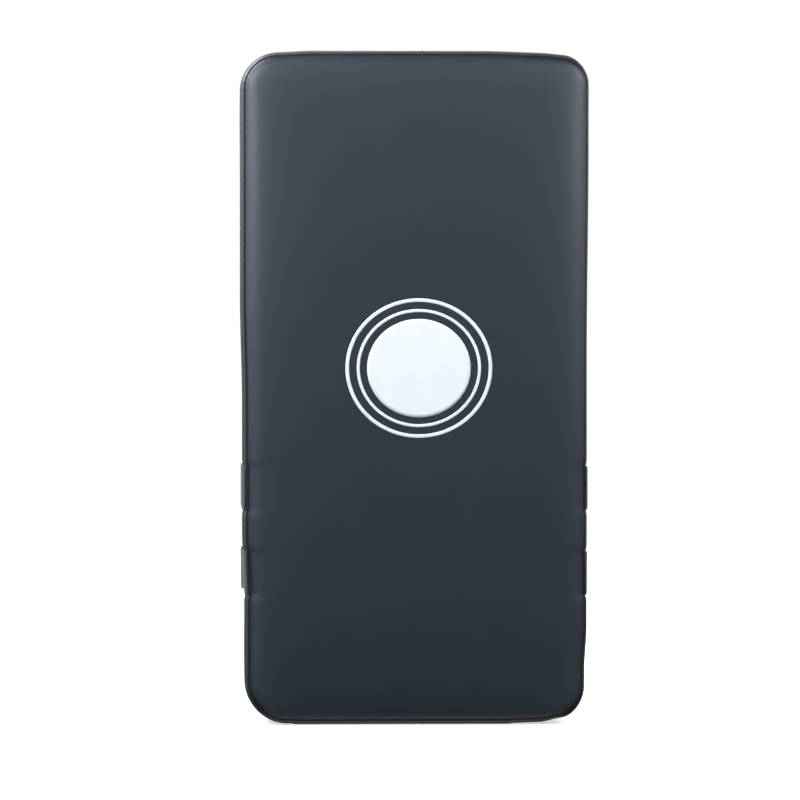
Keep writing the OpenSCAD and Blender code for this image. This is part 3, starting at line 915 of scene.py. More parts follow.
def make_gussets(fine, shapes):
    """Two halves of the gusset, which meet in a sewn joint at the middle of the top and of the bottom."""
    points = shapes["gusset"]
    count = points.shape[1]
    middle_low = ACROSS * fine.step // 2
    middle_high = middle_low + count // 2
    pieces = []
    for name, start, away in (("gusset_right_strip", middle_low, 1), ("gusset_left_strip", middle_high, -1)):
        columns = (start + np.arange(count // 2 + 1)) % count
        part = points[:, columns]
        ends = turned_in(part[:, 0], away), turned_in(part[:, -1], away)
        part = np.concatenate([ends[0][:, ::-1], part[:, 1:-1], ends[1]], axis=1)
        vertices = part.reshape(-1, 3)
        # Each cell is counted the other way round, so that the strip's outside faces out
        faces = [cell[:1] + cell[:0:-1] for cell in grid_faces(grid_edge(part)[1])]
        piece = new_object(name, vertices, faces, MATERIALS["gusset"])
        store(piece, "wear")
        store(piece, "seam", seam_shade_depth(vertices, 0.8 * MM))
        pieces.append(thickened(piece, SKIN_T))
    return pieces


# Widths of the printed inner and outer ring
RING_LINES = (2.7 * MM, 3.2 * MM)
# Sides and rings of points of each stitch
STITCH_SIDES = 6
STITCH_RINGS = 7


def stitches(name, middles, alongs, outs, length, radius, material):
    """Stitches as short bowed pieces of thread. Each dips at both ends into its holes."""
    middles, alongs, outs = (np.asarray(v, float) for v in (middles, alongs, outs))
    sides = np.cross(alongs, outs)
    s = np.linspace(-1, 1, STITCH_RINGS)
    bow = (1 - s ** 2) * radius * 1.5 - 0.6 * radius
    thick = radius * (0.55 + 0.45 * np.sqrt(np.maximum(1 - s ** 4, 0)))
    cos, sin = circle(STITCH_SIDES)
    spine = (middles[:, None] + alongs[:, None] * (s * length / 2)[None, :, None]
             + outs[:, None] * bow[None, :, None])
    ring = (sides[:, None, None] * cos[None, None, :, None]
            + outs[:, None, None] * sin[None, None, :, None]) * thick[None, :, None, None]
    vertices = (spine[:, :, None] + ring).reshape(-1, 3)
    faces = tube_faces(len(middles), STITCH_RINGS, STITCH_SIDES)
    run = np.arange(len(middles))[:, None, None] * length + (s * length / 2)[None, :, None]
    run = np.broadcast_to(run / MM, (len(middles), STITCH_RINGS, STITCH_SIDES))
    round_it = np.broadcast_to(np.arange(STITCH_SIDES) / STITCH_SIDES * 2 * np.pi * radius / MM, run.shape)
    uv = np.stack([run, round_it], -1).reshape(-1, 2)
    return facing_out(new_object(name, vertices, faces, material, uv))


def stations(points, pitch, closed=False):
    """Evenly spaced places along a line of points: positions and directions."""
    points = np.asarray(points, float)
    if closed:
        points = np.concatenate([points, points[:1]])
    length = run_along(points)
    count = max(2, round(length[-1] / pitch))
    at = (np.arange(count) + 0.5) * length[-1] / count

    def there(place):
        return np.stack([np.interp(place, length, points[:, k]) for k in range(3)], 1)

    return there(at), unit(there(at + 0.3 * pitch) - there(at - 0.3 * pitch))


def seam_stitches(name, shapes, sign):
    """Stitches in the groove between a face and the gusset."""
    face = shapes["front" if sign < 0 else "back"]
    line = face[1] * 0.5 + face[2] * 0.5
    position, direction = stations(line, STITCH_PITCH, True)
    middle = np.array([0, 0, HEIGHT / 2])
    out = position - middle
    out[:, 1] = 0
    edge = np.abs(out) / np.array([HALF_W, 1, HEIGHT / 2])
    out = np.stack([np.sign(out[:, 0]) * edge[:, 0] ** 12, np.full(len(out), sign * 1.0),
                    np.sign(out[:, 2]) * edge[:, 2] ** 12], 1)
    out = unit(out - direction * (out * direction).sum(1, keepdims=True))
    return stitches(name, position + out * 0.1 * MM, direction, out, 4.6 * MM, 0.42 * MM,
                    MATERIALS["thread"])


def ellipse(half_w, half_h, count=144):
    cos, sin = circle(count)
    return np.stack([half_w * cos, half_h * sin], 1)


def make_print(tree):
    """The printed disc and rings: thin films of ink on the strike face."""
    film, under = 0.16 * MM, -0.2 * MM
    lines = {"target_disc": None, "target_ring_inner": RING_LINES[0], "target_ring_outer": RING_LINES[1]}
    for node_name, line in lines.items():
        centre, half_w, half_h = facing(node_name)
        inner = ellipse(half_w - line, half_h - line) if line else None
        shares = np.linspace(0, 1, 4) if line else np.linspace(0, 1, 16)[1:]
        profile = [(s, film) for s in shares] + [(s, under) for s in shares[::-1]]
        piece = laid_shape(node_name.replace("target", "printed"), tree, -1, centre,
                           ellipse(half_w, half_h), inner, profile, MATERIALS["print"])
        placed(piece, "pad", "white_print", node_name)


def foam_slab(name, material, inset, y_low, y_high, soft, dent=None):
    """A foam layer: the pad's outline with rounded edges and a slightly uneven skin."""
    angles = [0, 0.35, 0.7, 1.05, 1.4, math.pi / 2]
    rows = [(inset + soft * (1 - math.sin(a)), y_low + soft * (1 - math.cos(a))) for a in angles]
    rows = [(inset + soft, y_low)] + rows[1:]
    rows += [(i, y_low + y_high - y) for i, y in rows[::-1]]
    rows = [(inset + 3 * soft, y_low)] + rows + [(inset + 3 * soft, y_high)]
    section = with_length(*np.array(rows).T)
    loops = settle(rings(section, 1))
    low_grid, high_grid = coons(loops[0], 1), coons(loops[-1], 1)
    if dent is not None:
        high_grid = dent(high_grid)
        loops[-1] = dent(loops[-1])
    edge, index = grid_edge(low_grid)
    body = loops[1:-1].reshape(-1, 3)
    vertices = np.concatenate([body, low_grid.reshape(-1, 3), high_grid.reshape(-1, 3)])
    first = len(body)
    second = first + low_grid.size // 3
    chain = [edge + first] + loops_of(len(loops) - 2, AROUND) + [edge + second]
    faces = []
    for a, b in zip(chain, chain[1:]):
        faces += ring_faces(a, b)
    faces += flipped(grid_faces(index + first)) + grid_faces(index + second)
    return facing_out(new_object(name, vertices, faces, material))


def make_foams():
    def pocket(points):
        """Presses the foam down where the zip's tapes and slider lie over it."""
        a, b = low("zip_tape_lower"), high("zip_tape_upper")
        x, z = points[..., 0], points[..., 2]
        inside = smooth((b.x + 8 * MM - np.abs(x)) / (10 * MM))
        inside = inside * smooth((z - a.z + 8 * MM) / (10 * MM)) * smooth((b.z + 8 * MM - z) / (10 * MM))
        moved = points.copy()
        moved[..., 1] -= 3.2 * MM * inside
        return moved

    gap, slack = 0.3 * MM, 1.8 * MM
    layers = (
        ("strike_foam", "firm_foam", 9.2 * MM, slack, gap, 8 * MM, None),
        ("core_foam", "core_foam", 6.2 * MM, gap, gap, 5 * MM, None),
        ("arm_side_foam", "soft_foam", 9.2 * MM, gap, slack, 8 * MM, pocket),
    )
    for node_name, kind, inset, before, behind, soft, dent in layers:
        a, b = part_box(node_name)
        piece = foam_slab(node_name + "_slab", MATERIALS[kind], inset, a.y + before, b.y - behind, soft, dent)
        placed(piece, "pad", kind, node_name)


def make_cover():
    fine, shapes = fine_cover()
    front, back = make_faces(fine, shapes)
    right, left = make_gussets(fine, shapes)
    placed(front, "pad", "front_vinyl", "front_panel")
    placed(back, "pad", "back_vinyl", "back_panel")
    placed(left, "pad", "gusset_vinyl", "gusset_left")
    placed(right, "pad", "gusset_vinyl", "gusset_right")
    placed(seam_stitches("front_seam_stitches", shapes, -1), "pad", "thread", "front_seam_thread")
    placed(seam_stitches("back_seam_stitches", shapes, 1), "pad", "thread", "back_seam_thread")
    placed(joint_stitches(shapes, fine), "pad", "thread")
    make_print(tree_of(front))
    return front, back, left, right


def cut_window(back, outline_xz):
    """Cuts the zip's window through the arm side of the cover."""
    loops = [[(x, y, z) for x, z in outline_xz] for y in (BACK_Y - 8 * MM, BACK_Y + 8 * MM)]
    vertices, faces = lofted(loops)
    cutter = facing_out(new_object("window_cutter", vertices, faces, None))
    cut = back.modifiers.new("window", "BOOLEAN")
    cut.operation = "DIFFERENCE"
    cut.solver = "EXACT"
    cut.object = cutter
    applied(back)
    bpy.data.objects.remove(cutter)


# ---------------------------------------------------------------- webbing
def mean_of(values, reach):
    """Running mean along a line of points, with its ends kept straight."""
    head = 2 * values[0] - values[reach:0:-1]
    tail = 2 * values[-1] - values[-2:-reach - 2:-1]
    longer = np.concatenate([head, values, tail])
    kernel = np.ones(2 * reach + 1) / (2 * reach + 1)
    return np.stack([np.convolve(longer[:, k], kernel, "valid") for k in range(values.shape[1])], 1)


def resampled(line, pitch):
    """A line of points at an even pitch."""
    line = np.asarray(line, float)
    length = run_along(line)
    at = np.linspace(0, length[-1], max(2, round(length[-1] / pitch)) + 1)
    return np.stack([np.interp(at, length, line[:, k]) for k in range(line.shape[1])], 1)


class Ribbon:
    """A band whose middle line runs in plan at one height. side is 1 where its outer face is left of the
    line and -1 where it is right. lean tilts the band over: how far out it goes for each metre across."""

    def __init__(self, line, z, width, thickness, side, fillet, lean=None):
        pitch = 0.5 * MM
        rows = np.asarray(line, float)
        lean = np.zeros(len(rows)) if lean is None else lean
        fine = resampled(np.column_stack([rows, lean]), pitch)
        fine = mean_of(fine, round(fillet / pitch))
        self.line, self.lean = fine[:, :2], fine[:, 2]
        self.length = run_along(self.line)
        self.ahead = unit(np.gradient(self.line, axis=0))
        self.out = side * np.stack([-self.ahead[:, 1], self.ahead[:, 0]], 1)
        self.z, self.half, self.thickness = z, width / 2, thickness

    def at(self, along, across, lift=0.0):
        """Points that far along, across and out of the middle, and the directions ahead and outwards."""
        along, across, lift = np.broadcast_arrays(along, across, lift)

        def here(values):
            return np.interp(along, self.length, values)

        out = np.stack([here(self.out[:, 0]), here(self.out[:, 1]), np.zeros_like(across)], -1)
        ahead = np.stack([here(self.ahead[:, 0]), here(self.ahead[:, 1]), np.zeros_like(across)], -1)
        middle = np.stack([here(self.line[:, 0]), here(self.line[:, 1]), self.z + across], -1)
        return middle + out * (lift + here(self.lean) * across)[..., None], ahead, out

    def nearest(self, x, y):
        """How far along the ribbon a place in plan is."""
        return self.length[np.argmin(np.hypot(self.line[:, 0] - x, self.line[:, 1] - y))]


def tube_faces(count, rings_each, sides):
    """Faces of count tubes, with rings_each rings of sides points each, and both ends closed."""
    per = rings_each * sides
    one = []
    for k in range(rings_each - 1):
        a = np.arange(sides) + k * sides
        one += ring_faces(a, a + sides)
    one += [list(range(sides))[::-1], [per - sides + i for i in range(sides)]]
    return [[i + n * per for i in face] for n in range(count) for face in one]


def band(name, ribbon, start, end, half, thickness, lift, material, pitch=2.5 * MM):
    """Webbing swept along a ribbon, thinner at its selvages, which waver a little."""
    along = np.linspace(start, end, max(2, round((end - start) / pitch)) + 1)
    across = half * np.sin(np.linspace(-1, 1, 17) * math.pi / 2)
    face = thickness / 2 * (1 - 0.3 * smooth((np.abs(across) - half) / (2.4 * MM) + 1))
    lip = half + 0.12 * thickness
    v = np.concatenate([across, [lip], across[::-1], [-lip]])
    q = np.concatenate([face, [0], -face[::-1], [0]])
    waver = 0.12 * MM * (np.sin(along / (3.7 * MM)) + 0.7 * np.sin(along / (9.1 * MM) + 1.0))
    wide = v[None] * (1 + waver[:, None] / half)
    points, _, _ = ribbon.at(along[:, None], wide, lift + q[None])
    uv = np.stack(np.broadcast_arrays(along[:, None] / MM, v[None] / MM), -1)
    faces = tube_faces(1, len(along), len(v))
    return facing_out(new_object(name, points.reshape(-1, 3), faces, material, uv.reshape(-1, 2)))


def box_runs(start, end, half, crossed):
    """Stitching lines of a box on a ribbon, as pairs of (along, across), with a cross in it if asked."""
    corners = [(start, -half), (end, -half), (end, half), (start, half)]
    runs = list(zip(corners, corners[1:] + corners[:1]))
    if crossed:
        runs += [(corners[0], corners[2]), (corners[1], corners[3])]
    return runs


def sewn(name, places, lift, pitch, radius):
    """Stitches on ribbons. places holds (ribbon, face, runs): face is 1 on the outer side and -1 inside."""
    middles, directions, outs = [], [], []
    for ribbon, face, runs in places:
        for start, end in np.asarray(runs, float):
            heading = end - start
            span = np.linalg.norm(heading)
            count = max(2, round(span / pitch))
            at = start + heading * ((np.arange(count) + 0.5) / count)[:, None]
            points, ahead, out = ribbon.at(at[:, 0], at[:, 1], face * lift)
            middles.append(points)
            directions.append(ahead * heading[0] / span + np.array([0, 0, heading[1] / span]))
            outs.append(face * out)
    return stitches(name, np.concatenate(middles), np.concatenate(directions), np.concatenate(outs),
                    0.78 * pitch, radius, MATERIALS["sewing"])


def sprouts(name, bases, leans, outs, path, sizes, radius, sides, material):
    """Many small bent wires. Each follows a path of (lean, out) steps from its base."""
    path = np.asarray(path, float)
    heading = unit(np.gradient(path, axis=0))
    normal = np.stack([-heading[:, 1], heading[:, 0]], 1)
    third = np.cross(leans, outs)
    steps = path[None] * np.asarray(sizes)[:, None, None]
    spine = bases[:, None] + leans[:, None] * steps[..., :1] + outs[:, None] * steps[..., 1:]
    across = leans[:, None] * normal[None, :, :1] + outs[:, None] * normal[None, :, 1:]
    cos, sin = circle(sides)
    ring = (across[:, :, None] * cos[None, None, :, None]
            + third[:, None, None] * sin[None, None, :, None]) * radius
    vertices = (spine[:, :, None] + ring).reshape(-1, 3)
    return facing_out(new_object(name, vertices, tube_faces(len(bases), len(path), sides), material))


# ---------------------------------------------------------------- forearm straps
HOOK_PITCH = 1.75 * MM
LOOP_PITCH = 1.5 * MM
PILE = 0.72 * MM
PATCH_BASE = 0.5 * MM
# A loop and a hook: its path of (lean, out) steps, and its wire's radius and number of sides
LOOP_WIRE = (PILE * np.array([(-0.6, 0.0), (-0.75, 0.45), (-0.2, 0.95), (0.45, 0.75), (0.6, 0.0)]),
             0.09 * MM, 3)
HOOK_WIRE = (PILE * np.array([(-0.35, 0.0), (-0.35, 0.55), (-0.1, 0.95), (0.3, 0.95), (0.45, 0.6)]),
             0.13 * MM, 4)


def lying_on(tree, side, z, depths, thickness):
    """How far out a band's middle lies where it rests on the gusset, at each depth, and how it leans."""
    reach = np.zeros((len(depths), 3))
    for row, depth in enumerate(depths):
        for column, across in enumerate((-15 * MM, 0, 15 * MM)):
            hit = tree.ray_cast(Vector((side * 0.3, depth, z + across)), Vector((-side, 0, 0)))[0]
            reach[row, column] = abs(hit.x)
    middle = np.maximum(reach[:, 1], (reach[:, 0] + reach[:, 2]) / 2)
    return middle + thickness / 2 + 0.05 * MM, (reach[:, 2] - reach[:, 0]) / (30 * MM)


def arch(centre, radius, start, end):
    angles = np.linspace(start, end, 120)
    return np.stack([radius * np.cos(angles), centre + radius * np.sin(angles)], 1)


def make_strap(name, tree):
    """One forearm strap: its left half with the loop patch, and its right half with the flap that peels."""
    root = joint(name + "_flap_peel")["pos_m"]
    a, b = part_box(name + "_strap_right")
    thickness, width, z = b.x - a.x, b.z - a.z, (a.z + b.z) / 2
    rise = high(name + "_strap_flap").y - thickness / 2 - root[1]
    outer = (root[0] ** 2 + rise ** 2) / (2 * rise)
    centre = root[1] + rise - outer
    inner = high(name + "_strap_left").y - thickness / 2 - centre
    patch_r = high(name + "_loop_patch").y - centre
    patch_a = math.asin(high(name + "_loop_patch").x / patch_r)
    overlap = patch_a + math.radians(1)
    depths = np.arange(a.y - 0.4 * MM, BACK_SEAM_Y - 14 * MM, 1.5 * MM)

    def half_strap(side, radius, start, end):
        """Middle line and lean of a strap half, out from the front seam, over its root and up its arch."""
        out, lean = lying_on(tree, side, z, depths, thickness)
        up = np.stack([side * out, depths], 1)
        over = arch(centre, radius, start, end)
        leans = np.concatenate([lean, np.zeros(len(over))])
        return Ribbon(np.concatenate([up, over]), z, width, thickness, -side, 7 * MM, leans)

    left_start = math.pi - math.asin(math.sqrt(1 - (root[0] / inner) ** 2))
    left = half_strap(-1, inner, left_start, math.pi / 2 - overlap)
    right_start = math.acos(root[0] / outer)
    right = half_strap(1, outer, right_start, math.pi / 2 + overlap)
    half = width / 2
    piece = band(name + "_strap_webbing_left", left, 0, left.length[-1], half, thickness, 0, MATERIALS["web"])
    placed(piece, "pad", "webbing", name + "_strap_left")
    piece = band(name + "_strap_webbing_right", right, 0, right.length[-1], half, thickness, 0,
                 MATERIALS["web"])
    finished(piece, "webbing", name + "_strap_right", name + "_strap_flap")
    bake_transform(piece)
    make_patches(name, left, right, patch_a, inner, outer)
    return left, right


def make_patches(name, left, right, patch_a, inner, outer):
    """Loop patch on the left half and hook patch inside the flap, sewn down round their edges."""
    half = left.half - 1.2 * MM
    sides = (
        ("loop", left, inner, 1, "pad", "pile", "loop_pile"),
        ("hook", right, outer, -1, name + "_flap", "hooks", "hook_face"),
    )
    for kind, ribbon, radius, face, body, look, slot in sides:
        top = ribbon.length[np.argmax(ribbon.line[:, 1])]
        start, end = top - patch_a * radius, top + patch_a * radius
        lift = face * (ribbon.thickness + PATCH_BASE) / 2
        piece = band(f"{name}_{kind}_tape", ribbon, start, end, half, PATCH_BASE, lift, MATERIALS[look])
        placed(piece, body, slot, f"{name}_{kind}_patch")
        make_pile(f"{name}_{kind}s", kind, ribbon, face, (start, end), half, body, look, slot)
        runs = box_runs(start + 1.6 * MM, end - 1.6 * MM, half - 1.6 * MM, False)
        over = ribbon.thickness / 2
        placed(sewn(f"{name}_{kind}_stitches", [(ribbon, -face, runs)], over, 3.2 * MM, 0.3 * MM),
               body, "thread")
        placed(sewn(f"{name}_{kind}_edge_stitches", [(ribbon, face, runs)], over + PATCH_BASE, 3.2 * MM,
                    0.3 * MM), body, "thread")


def make_pile(name, kind, ribbon, face, span, half, body, look, slot):
    """The hooks in rows, or the loops lying every way, on a patch's face."""
    scatter = np.random.default_rng(7 if kind == "loop" else 11)
    pitch = LOOP_PITCH if kind == "loop" else HOOK_PITCH
    rim = 2.6 * MM
    along = np.arange(span[0] + rim, span[1] - rim, pitch)
    across = np.arange(-half + rim, half - rim, pitch)
    s, v = (grid.ravel() for grid in np.meshgrid(along, across))
    if kind == "loop":
        s = s + scatter.uniform(-0.5, 0.5, len(s)) * pitch
        v = v + scatter.uniform(-0.5, 0.5, len(v)) * pitch
        heading = scatter.uniform(0, 2 * np.pi, len(s))
        path, radius, sides = LOOP_WIRE
    else:
        odd = np.round((v + half) / pitch) % 2
        s = s + 0.5 * pitch * odd
        heading = np.where(odd > 0, 0.0, np.pi)
        path, radius, sides = HOOK_WIRE
    lift = face * (ribbon.thickness / 2 + PATCH_BASE - 0.05 * MM)
    bases, ahead, out = ribbon.at(s, v, lift)
    leans = ahead * np.cos(heading)[:, None] + np.array([0, 0, 1.0]) * np.sin(heading)[:, None]
    sizes = scatter.uniform(0.8, 1.0, len(s))
    placed(sprouts(name, bases, leans, face * out, path, sizes, radius, sides, MATERIALS[look]), body, slot)


def make_straps(gusset_tree):
    places = []
    for name in ("upper", "lower"):
        left, right = make_strap(name, gusset_tree)
        a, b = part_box("strap_stitching")
        for ribbon in (left, right):
            start, end = (ribbon.nearest(ribbon.line[0, 0], y) for y in (a.y, b.y))
            places.append((ribbon, 1, box_runs(start, end, ribbon.half - 4 * MM, True)))
    piece = sewn("strap_box_stitches", places, places[0][0].thickness / 2, 3.0 * MM, 0.34 * MM)
    placed(piece, "pad", "thread", "strap_stitching")


# ---------------------------------------------------------------- pieces laid on a face
def rounded_loop(half_w, half_h, radius, each=10):
    """Closed loop of a rounded rectangle about the origin, with even points along its sides."""
    corners = ((1, -1, 270), (1, 1, 0), (-1, 1, 90), (-1, -1, 180))
    points = []
    for sx, sz, start in corners:
        centre = np.array([sx * (half_w - radius), sz * (half_h - radius)])
        angles = np.radians(start + 90 * np.arange(each + 1) / each)
        points += list(centre + radius * np.stack([np.cos(angles), np.sin(angles)], 1))
    closed = np.array(points + points[:1])
    return resampled(closed, 2.0 * MM)[:-1]


def surface_y(tree, way, x, z):
    """Where a face of the cover is: the strike face where way is -1, the arm side where it is 1."""
    return tree.ray_cast(Vector((x, way * 0.3, z)), Vector((0, -way, 0)))[0].y


def laid_shape(name, tree, way, centre, outer, inner, profile, material):
    """A flat shape laid on a face. way is -1 on the strike face and 1 on the arm side. It fills outer, or the
    band from inner to outer, and its section is rows of (share of the way out, height above the face)."""
    around = len(outer)
    vertices = []

    def lay(x, z, lift):
        vertices.append((x, surface_y(tree, way, x, z) + way * lift, z))

    hollow = inner is not None
    inner = inner if hollow else np.zeros_like(outer)
    for share, lift in profile:
        for x, z in centre + inner + (outer - inner) * share:
            lay(x, z, lift)
    ring = loops_of(len(profile), around)
    faces = []
    for a, b in zip(ring, ring[1:]):
        faces += ring_faces(a, b)
    if hollow:
        faces += ring_faces(ring[-1], ring[0])
    else:
        for edge, lift in ((ring[0], profile[0][1]), (ring[-1], profile[-1][1])):
            lay(*centre, lift)
            tip = len(vertices) - 1
            faces += [[a, b, tip] for a, b in zip(edge, np.roll(edge, -1))]
    return facing_out(new_object(name, vertices, faces, material))


def sewn_round(name, tree, way, centre, loop, lift, pitch):
    """Stitches along a closed loop on a face."""
    flat, heading = stations(np.column_stack([loop + centre, np.zeros(len(loop))]), pitch, True)
    middles = [(x, surface_y(tree, way, x, z) + way * lift, z) for x, z, _ in flat]
    directions = np.stack([heading[:, 0], np.zeros(len(flat)), heading[:, 1]], 1)
    outs = np.tile([0.0, way, 0.0], (len(flat), 1))
    return stitches(name, middles, directions, outs, 0.76 * pitch, 0.34 * MM, MATERIALS["sewing"])


# ---------------------------------------------------------------- grip
def make_grip(back_tree):
    end_low, end_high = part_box("grip_end_right")
    sleeve_low, sleeve_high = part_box("grip_sleeve")
    thickness = end_high.y - end_low.y
    z = (end_low.z + end_high.z) / 2
    backing = end_low.y - low("grip_backing_right").y
    leg_x, bar_y = high("grip_webbing").x - thickness / 2, (sleeve_low.y + sleeve_high.y) / 2
    bend = 24 * MM

    def resting(x):
        return surface_y(back_tree, 1, x, z) + backing + thickness / 2 + 0.1 * MM

    flat = [(x, resting(-x)) for x in np.linspace(end_high.x, leg_x, 12)]
    angles = np.radians(np.linspace(0, 90, 16))
    curve = [(leg_x - bend + bend * math.cos(t), bar_y - bend + bend * math.sin(t)) for t in angles]
    half = [(-x, y) for x, y in flat + curve]
    line = half + [(-x, y) for x, y in half[::-1]]
    ribbon = Ribbon(line, z, end_high.z - end_low.z, thickness, 1, 3.5 * MM)
    piece = band("grip_strap", ribbon, 0, ribbon.length[-1], ribbon.half, thickness, 0, MATERIALS["web"],
                 2.0 * MM)
    finished(piece, "webbing", "grip_webbing", "grip_end_left", "grip_end_right")
    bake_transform(piece)
    make_grip_ends(back_tree, ribbon, (end_low, end_high), backing)
    make_sleeve(sleeve_low, sleeve_high, thickness)


def make_grip_ends(back_tree, ribbon, sewn_end, backing):
    """Vinyl patches under the grip's ends, and the stitching that holds the ends down."""
    margin = 4 * MM
    a, b = sewn_end
    places = []
    for side, name in ((-1, "left"), (1, "right")):
        centre, half_w, half_h = facing("grip_backing_" + name)
        shares = [(0.3, backing), (0.6, backing), (0.9, backing), (0.965, 0.96 * backing),
                  (0.99, 0.8 * backing), (1.0, 0.4 * backing), (1.0, -0.3 * MM), (0.5, -0.3 * MM)]
        piece = laid_shape("grip_patch_" + name, back_tree, 1, centre, rounded_loop(half_w, half_h, 8 * MM),
                           None, shares, MATERIALS["grip"])
        store(piece, "wear")
        placed(piece, "pad", "grip_vinyl", "grip_backing_" + name)
        loop = rounded_loop(half_w - 3 * MM, half_h - 3 * MM, 5 * MM)
        placed(sewn_round("grip_patch_stitches_" + name, back_tree, 1, centre, loop, backing, 3.4 * MM),
               "pad", "thread")
        start = ribbon.length[-1] / 2 + side * (ribbon.length[-1] / 2 - margin)
        end = start - side * (b.x - a.x - 2 * margin)
        places.append((ribbon, 1, box_runs(min(start, end), max(start, end), ribbon.half - margin, True)))
    piece = sewn("grip_box_stitches", places, ribbon.thickness / 2, 3.0 * MM, 0.34 * MM)
    placed(piece, "pad", "thread", "grip_stitching")


SLEEVE_SKIN = 1.1 * MM
# Where the foam starts in the sleeve's ends, and how it eases in, in millimetres
FOAM_ENDS = (5.0, 5.6, 6.8)
FOAM_PITCHES = 24
# Half the flat side's distance from the webbing's middle, against the webbing's thickness
FOAM_FLAT = 0.62
# The wrap turns this far round, and laps over its own start past this angle
WRAP_TURN, WRAP_LAP = math.radians(394), math.radians(338)
WRAP_COLUMNS, WRAP_ROWS = 96, 60


def make_grip_foams(a, b, slot, inner):
    """Two D-shaped foam bars, one either side of the webbing."""
    middle = (a + b) / 2
    length = b.x - a.x
    for side, name in ((-1, "inner"), (1, "outer")):
        angles = np.linspace(0.06, math.pi - 0.06, 22)
        arc = np.stack([inner * np.cos(angles), side * inner * np.sin(angles)], 1)
        flat = side * slot * FOAM_FLAT
        chord = np.stack([np.linspace(arc[-1, 0], arc[0, 0], 12)[1:-1], np.full(10, flat)], 1)
        section = np.concatenate([arc, chord])
        section[:, 1] = side * np.maximum(side * section[:, 1], slot * FOAM_FLAT)
        ends = np.concatenate([FOAM_ENDS, np.linspace(9, length / MM - 9, FOAM_PITCHES),
                               length / MM - np.array(FOAM_ENDS[::-1])]) * MM
        near = np.minimum(ends, length - ends)
        scale = 0.975 - 0.1 * np.exp(-(near / (3.4 * MM)) ** 2)
        centre = section.mean(0)
        loops = centre + (section - centre) * scale[:, None, None]
        points = np.stack([np.broadcast_to((a.x + ends)[:, None], loops.shape[:2]),
                           middle.y + loops[..., 1], middle.z + loops[..., 0]], -1)
        piece = facing_out(new_object("grip_foam_" + name, points.reshape(-1, 3),
                                      tube_faces(1, len(ends), len(section)), MATERIALS["soft_foam"]))
        placed(piece, "grip", "soft_foam")
        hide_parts("grip_foam")


def make_sleeve(a, b, slot):
    """Padded sleeve: foam bars on the webbing, wrapped in vinyl that laps over itself and is sewn there."""
    middle = (a + b) / 2
    radius = (b.y - a.y) / 2 - 0.9 * MM
    length = b.x - a.x
    make_grip_foams(a, b, slot, radius - SLEEVE_SKIN)
    share = np.linspace(0, 1, WRAP_COLUMNS)
    angle = -math.pi / 2 - math.radians(30) + WRAP_TURN * share
    lap = smooth((WRAP_TURN * share - WRAP_LAP) / math.radians(20))
    along = np.linspace(0, length, WRAP_ROWS)
    near = np.minimum(along, length - along)
    gather = 1 - 0.075 * np.exp(-(near / (3.2 * MM)) ** 2)
    crease = np.exp(-near / (14 * MM))
    grid_a, grid_x = np.meshgrid(angle, along)
    folds = 0.28 * MM * crease[:, None] * np.sin(11 * grid_a + 3 * np.sin(grid_x / (9 * MM)))
    soft = 0.22 * MM * np.sin(grid_x / (17 * MM) + 2 * np.sin(grid_a)) * (1 - crease[:, None])
    squeeze = 1 + 0.025 * np.cos(2 * grid_a)
    distance = (radius - 0.25 * MM) * gather[:, None] * squeeze + folds + soft + 1.15 * MM * lap[None]
    points = np.stack([a.x + grid_x, middle.y + distance * np.sin(grid_a),
                       middle.z + distance * np.cos(grid_a)], -1)
    faces = grid_faces(grid_edge(points)[1])
    piece = new_object("grip_sleeve_wrap", points.reshape(-1, 3), faces, MATERIALS["grip"])
    outward = Vector(piece.data.polygons[0].center) - Vector((piece.data.polygons[0].center.x, *middle.yz))
    if piece.data.polygons[0].normal.dot(outward) < 0:
        piece.data.flip_normals()
    store(piece, "wear", np.repeat(0.35 * np.exp(-(near / (4 * MM)) ** 2), WRAP_COLUMNS))
    placed(thickened(piece, SLEEVE_SKIN - 0.15 * MM), "grip", "grip_vinyl", "grip_sleeve")
    seam = angle[-1] - math.radians(7)
    column = int(np.searchsorted(angle, seam))
    line = points[3:-3, column]
    position, direction = stations(line, 4.0 * MM)
    out = np.tile([0, math.sin(seam), math.cos(seam)], (len(position), 1))
    placed(stitches("grip_sleeve_stitches", position + out * 0.1 * MM, direction, out, 3.1 * MM, 0.36 * MM,
                    MATERIALS["sewing"]), "grip", "thread")


# ---------------------------------------------------------------- zip
def lofted(loops):
    """Vertices and faces of a closed solid through a row of loops with equal counts."""
    loops = np.asarray(loops, float)
    return loops.reshape(-1, 3), tube_faces(1, loops.shape[0], loops.shape[1])


def joined(name, parts, material):
    """One object from several closed solids."""
    vertices, faces = [], []
    for points, cells in parts:
        faces += [[i + len(vertices) for i in cell] for cell in cells]
        vertices += [tuple(p) for p in points]
    return facing_out(new_object(name, vertices, faces, material, shade_smooth=False))


def softened(loop, start, end, axis, ease, recess=0.0):
    """Solid with a flat outline pushed along an axis. Its edges are eased. Its last face can be recessed."""
    others = [k for k in range(3) if k != axis]
    loop = np.asarray(loop, float)
    centre = loop.mean(0)
    spread = np.abs(loop - centre).max()
    small = 1 - ease / spread
    way = 1 if end > start else -1
    rows = [(small, start), (1, start + way * ease), (1, end - way * ease), (small, end)]
    if recess:
        rows += [(small - 1.1 * MM / spread, end), (small - 1.4 * MM / spread, end - way * recess)]
    loops = []
    for scale, place in rows:
        ring = np.zeros((len(loop), 3))
        ring[:, others] = centre + (loop - centre) * scale
        ring[:, axis] = place
        loops.append(ring)
    return lofted(loops)


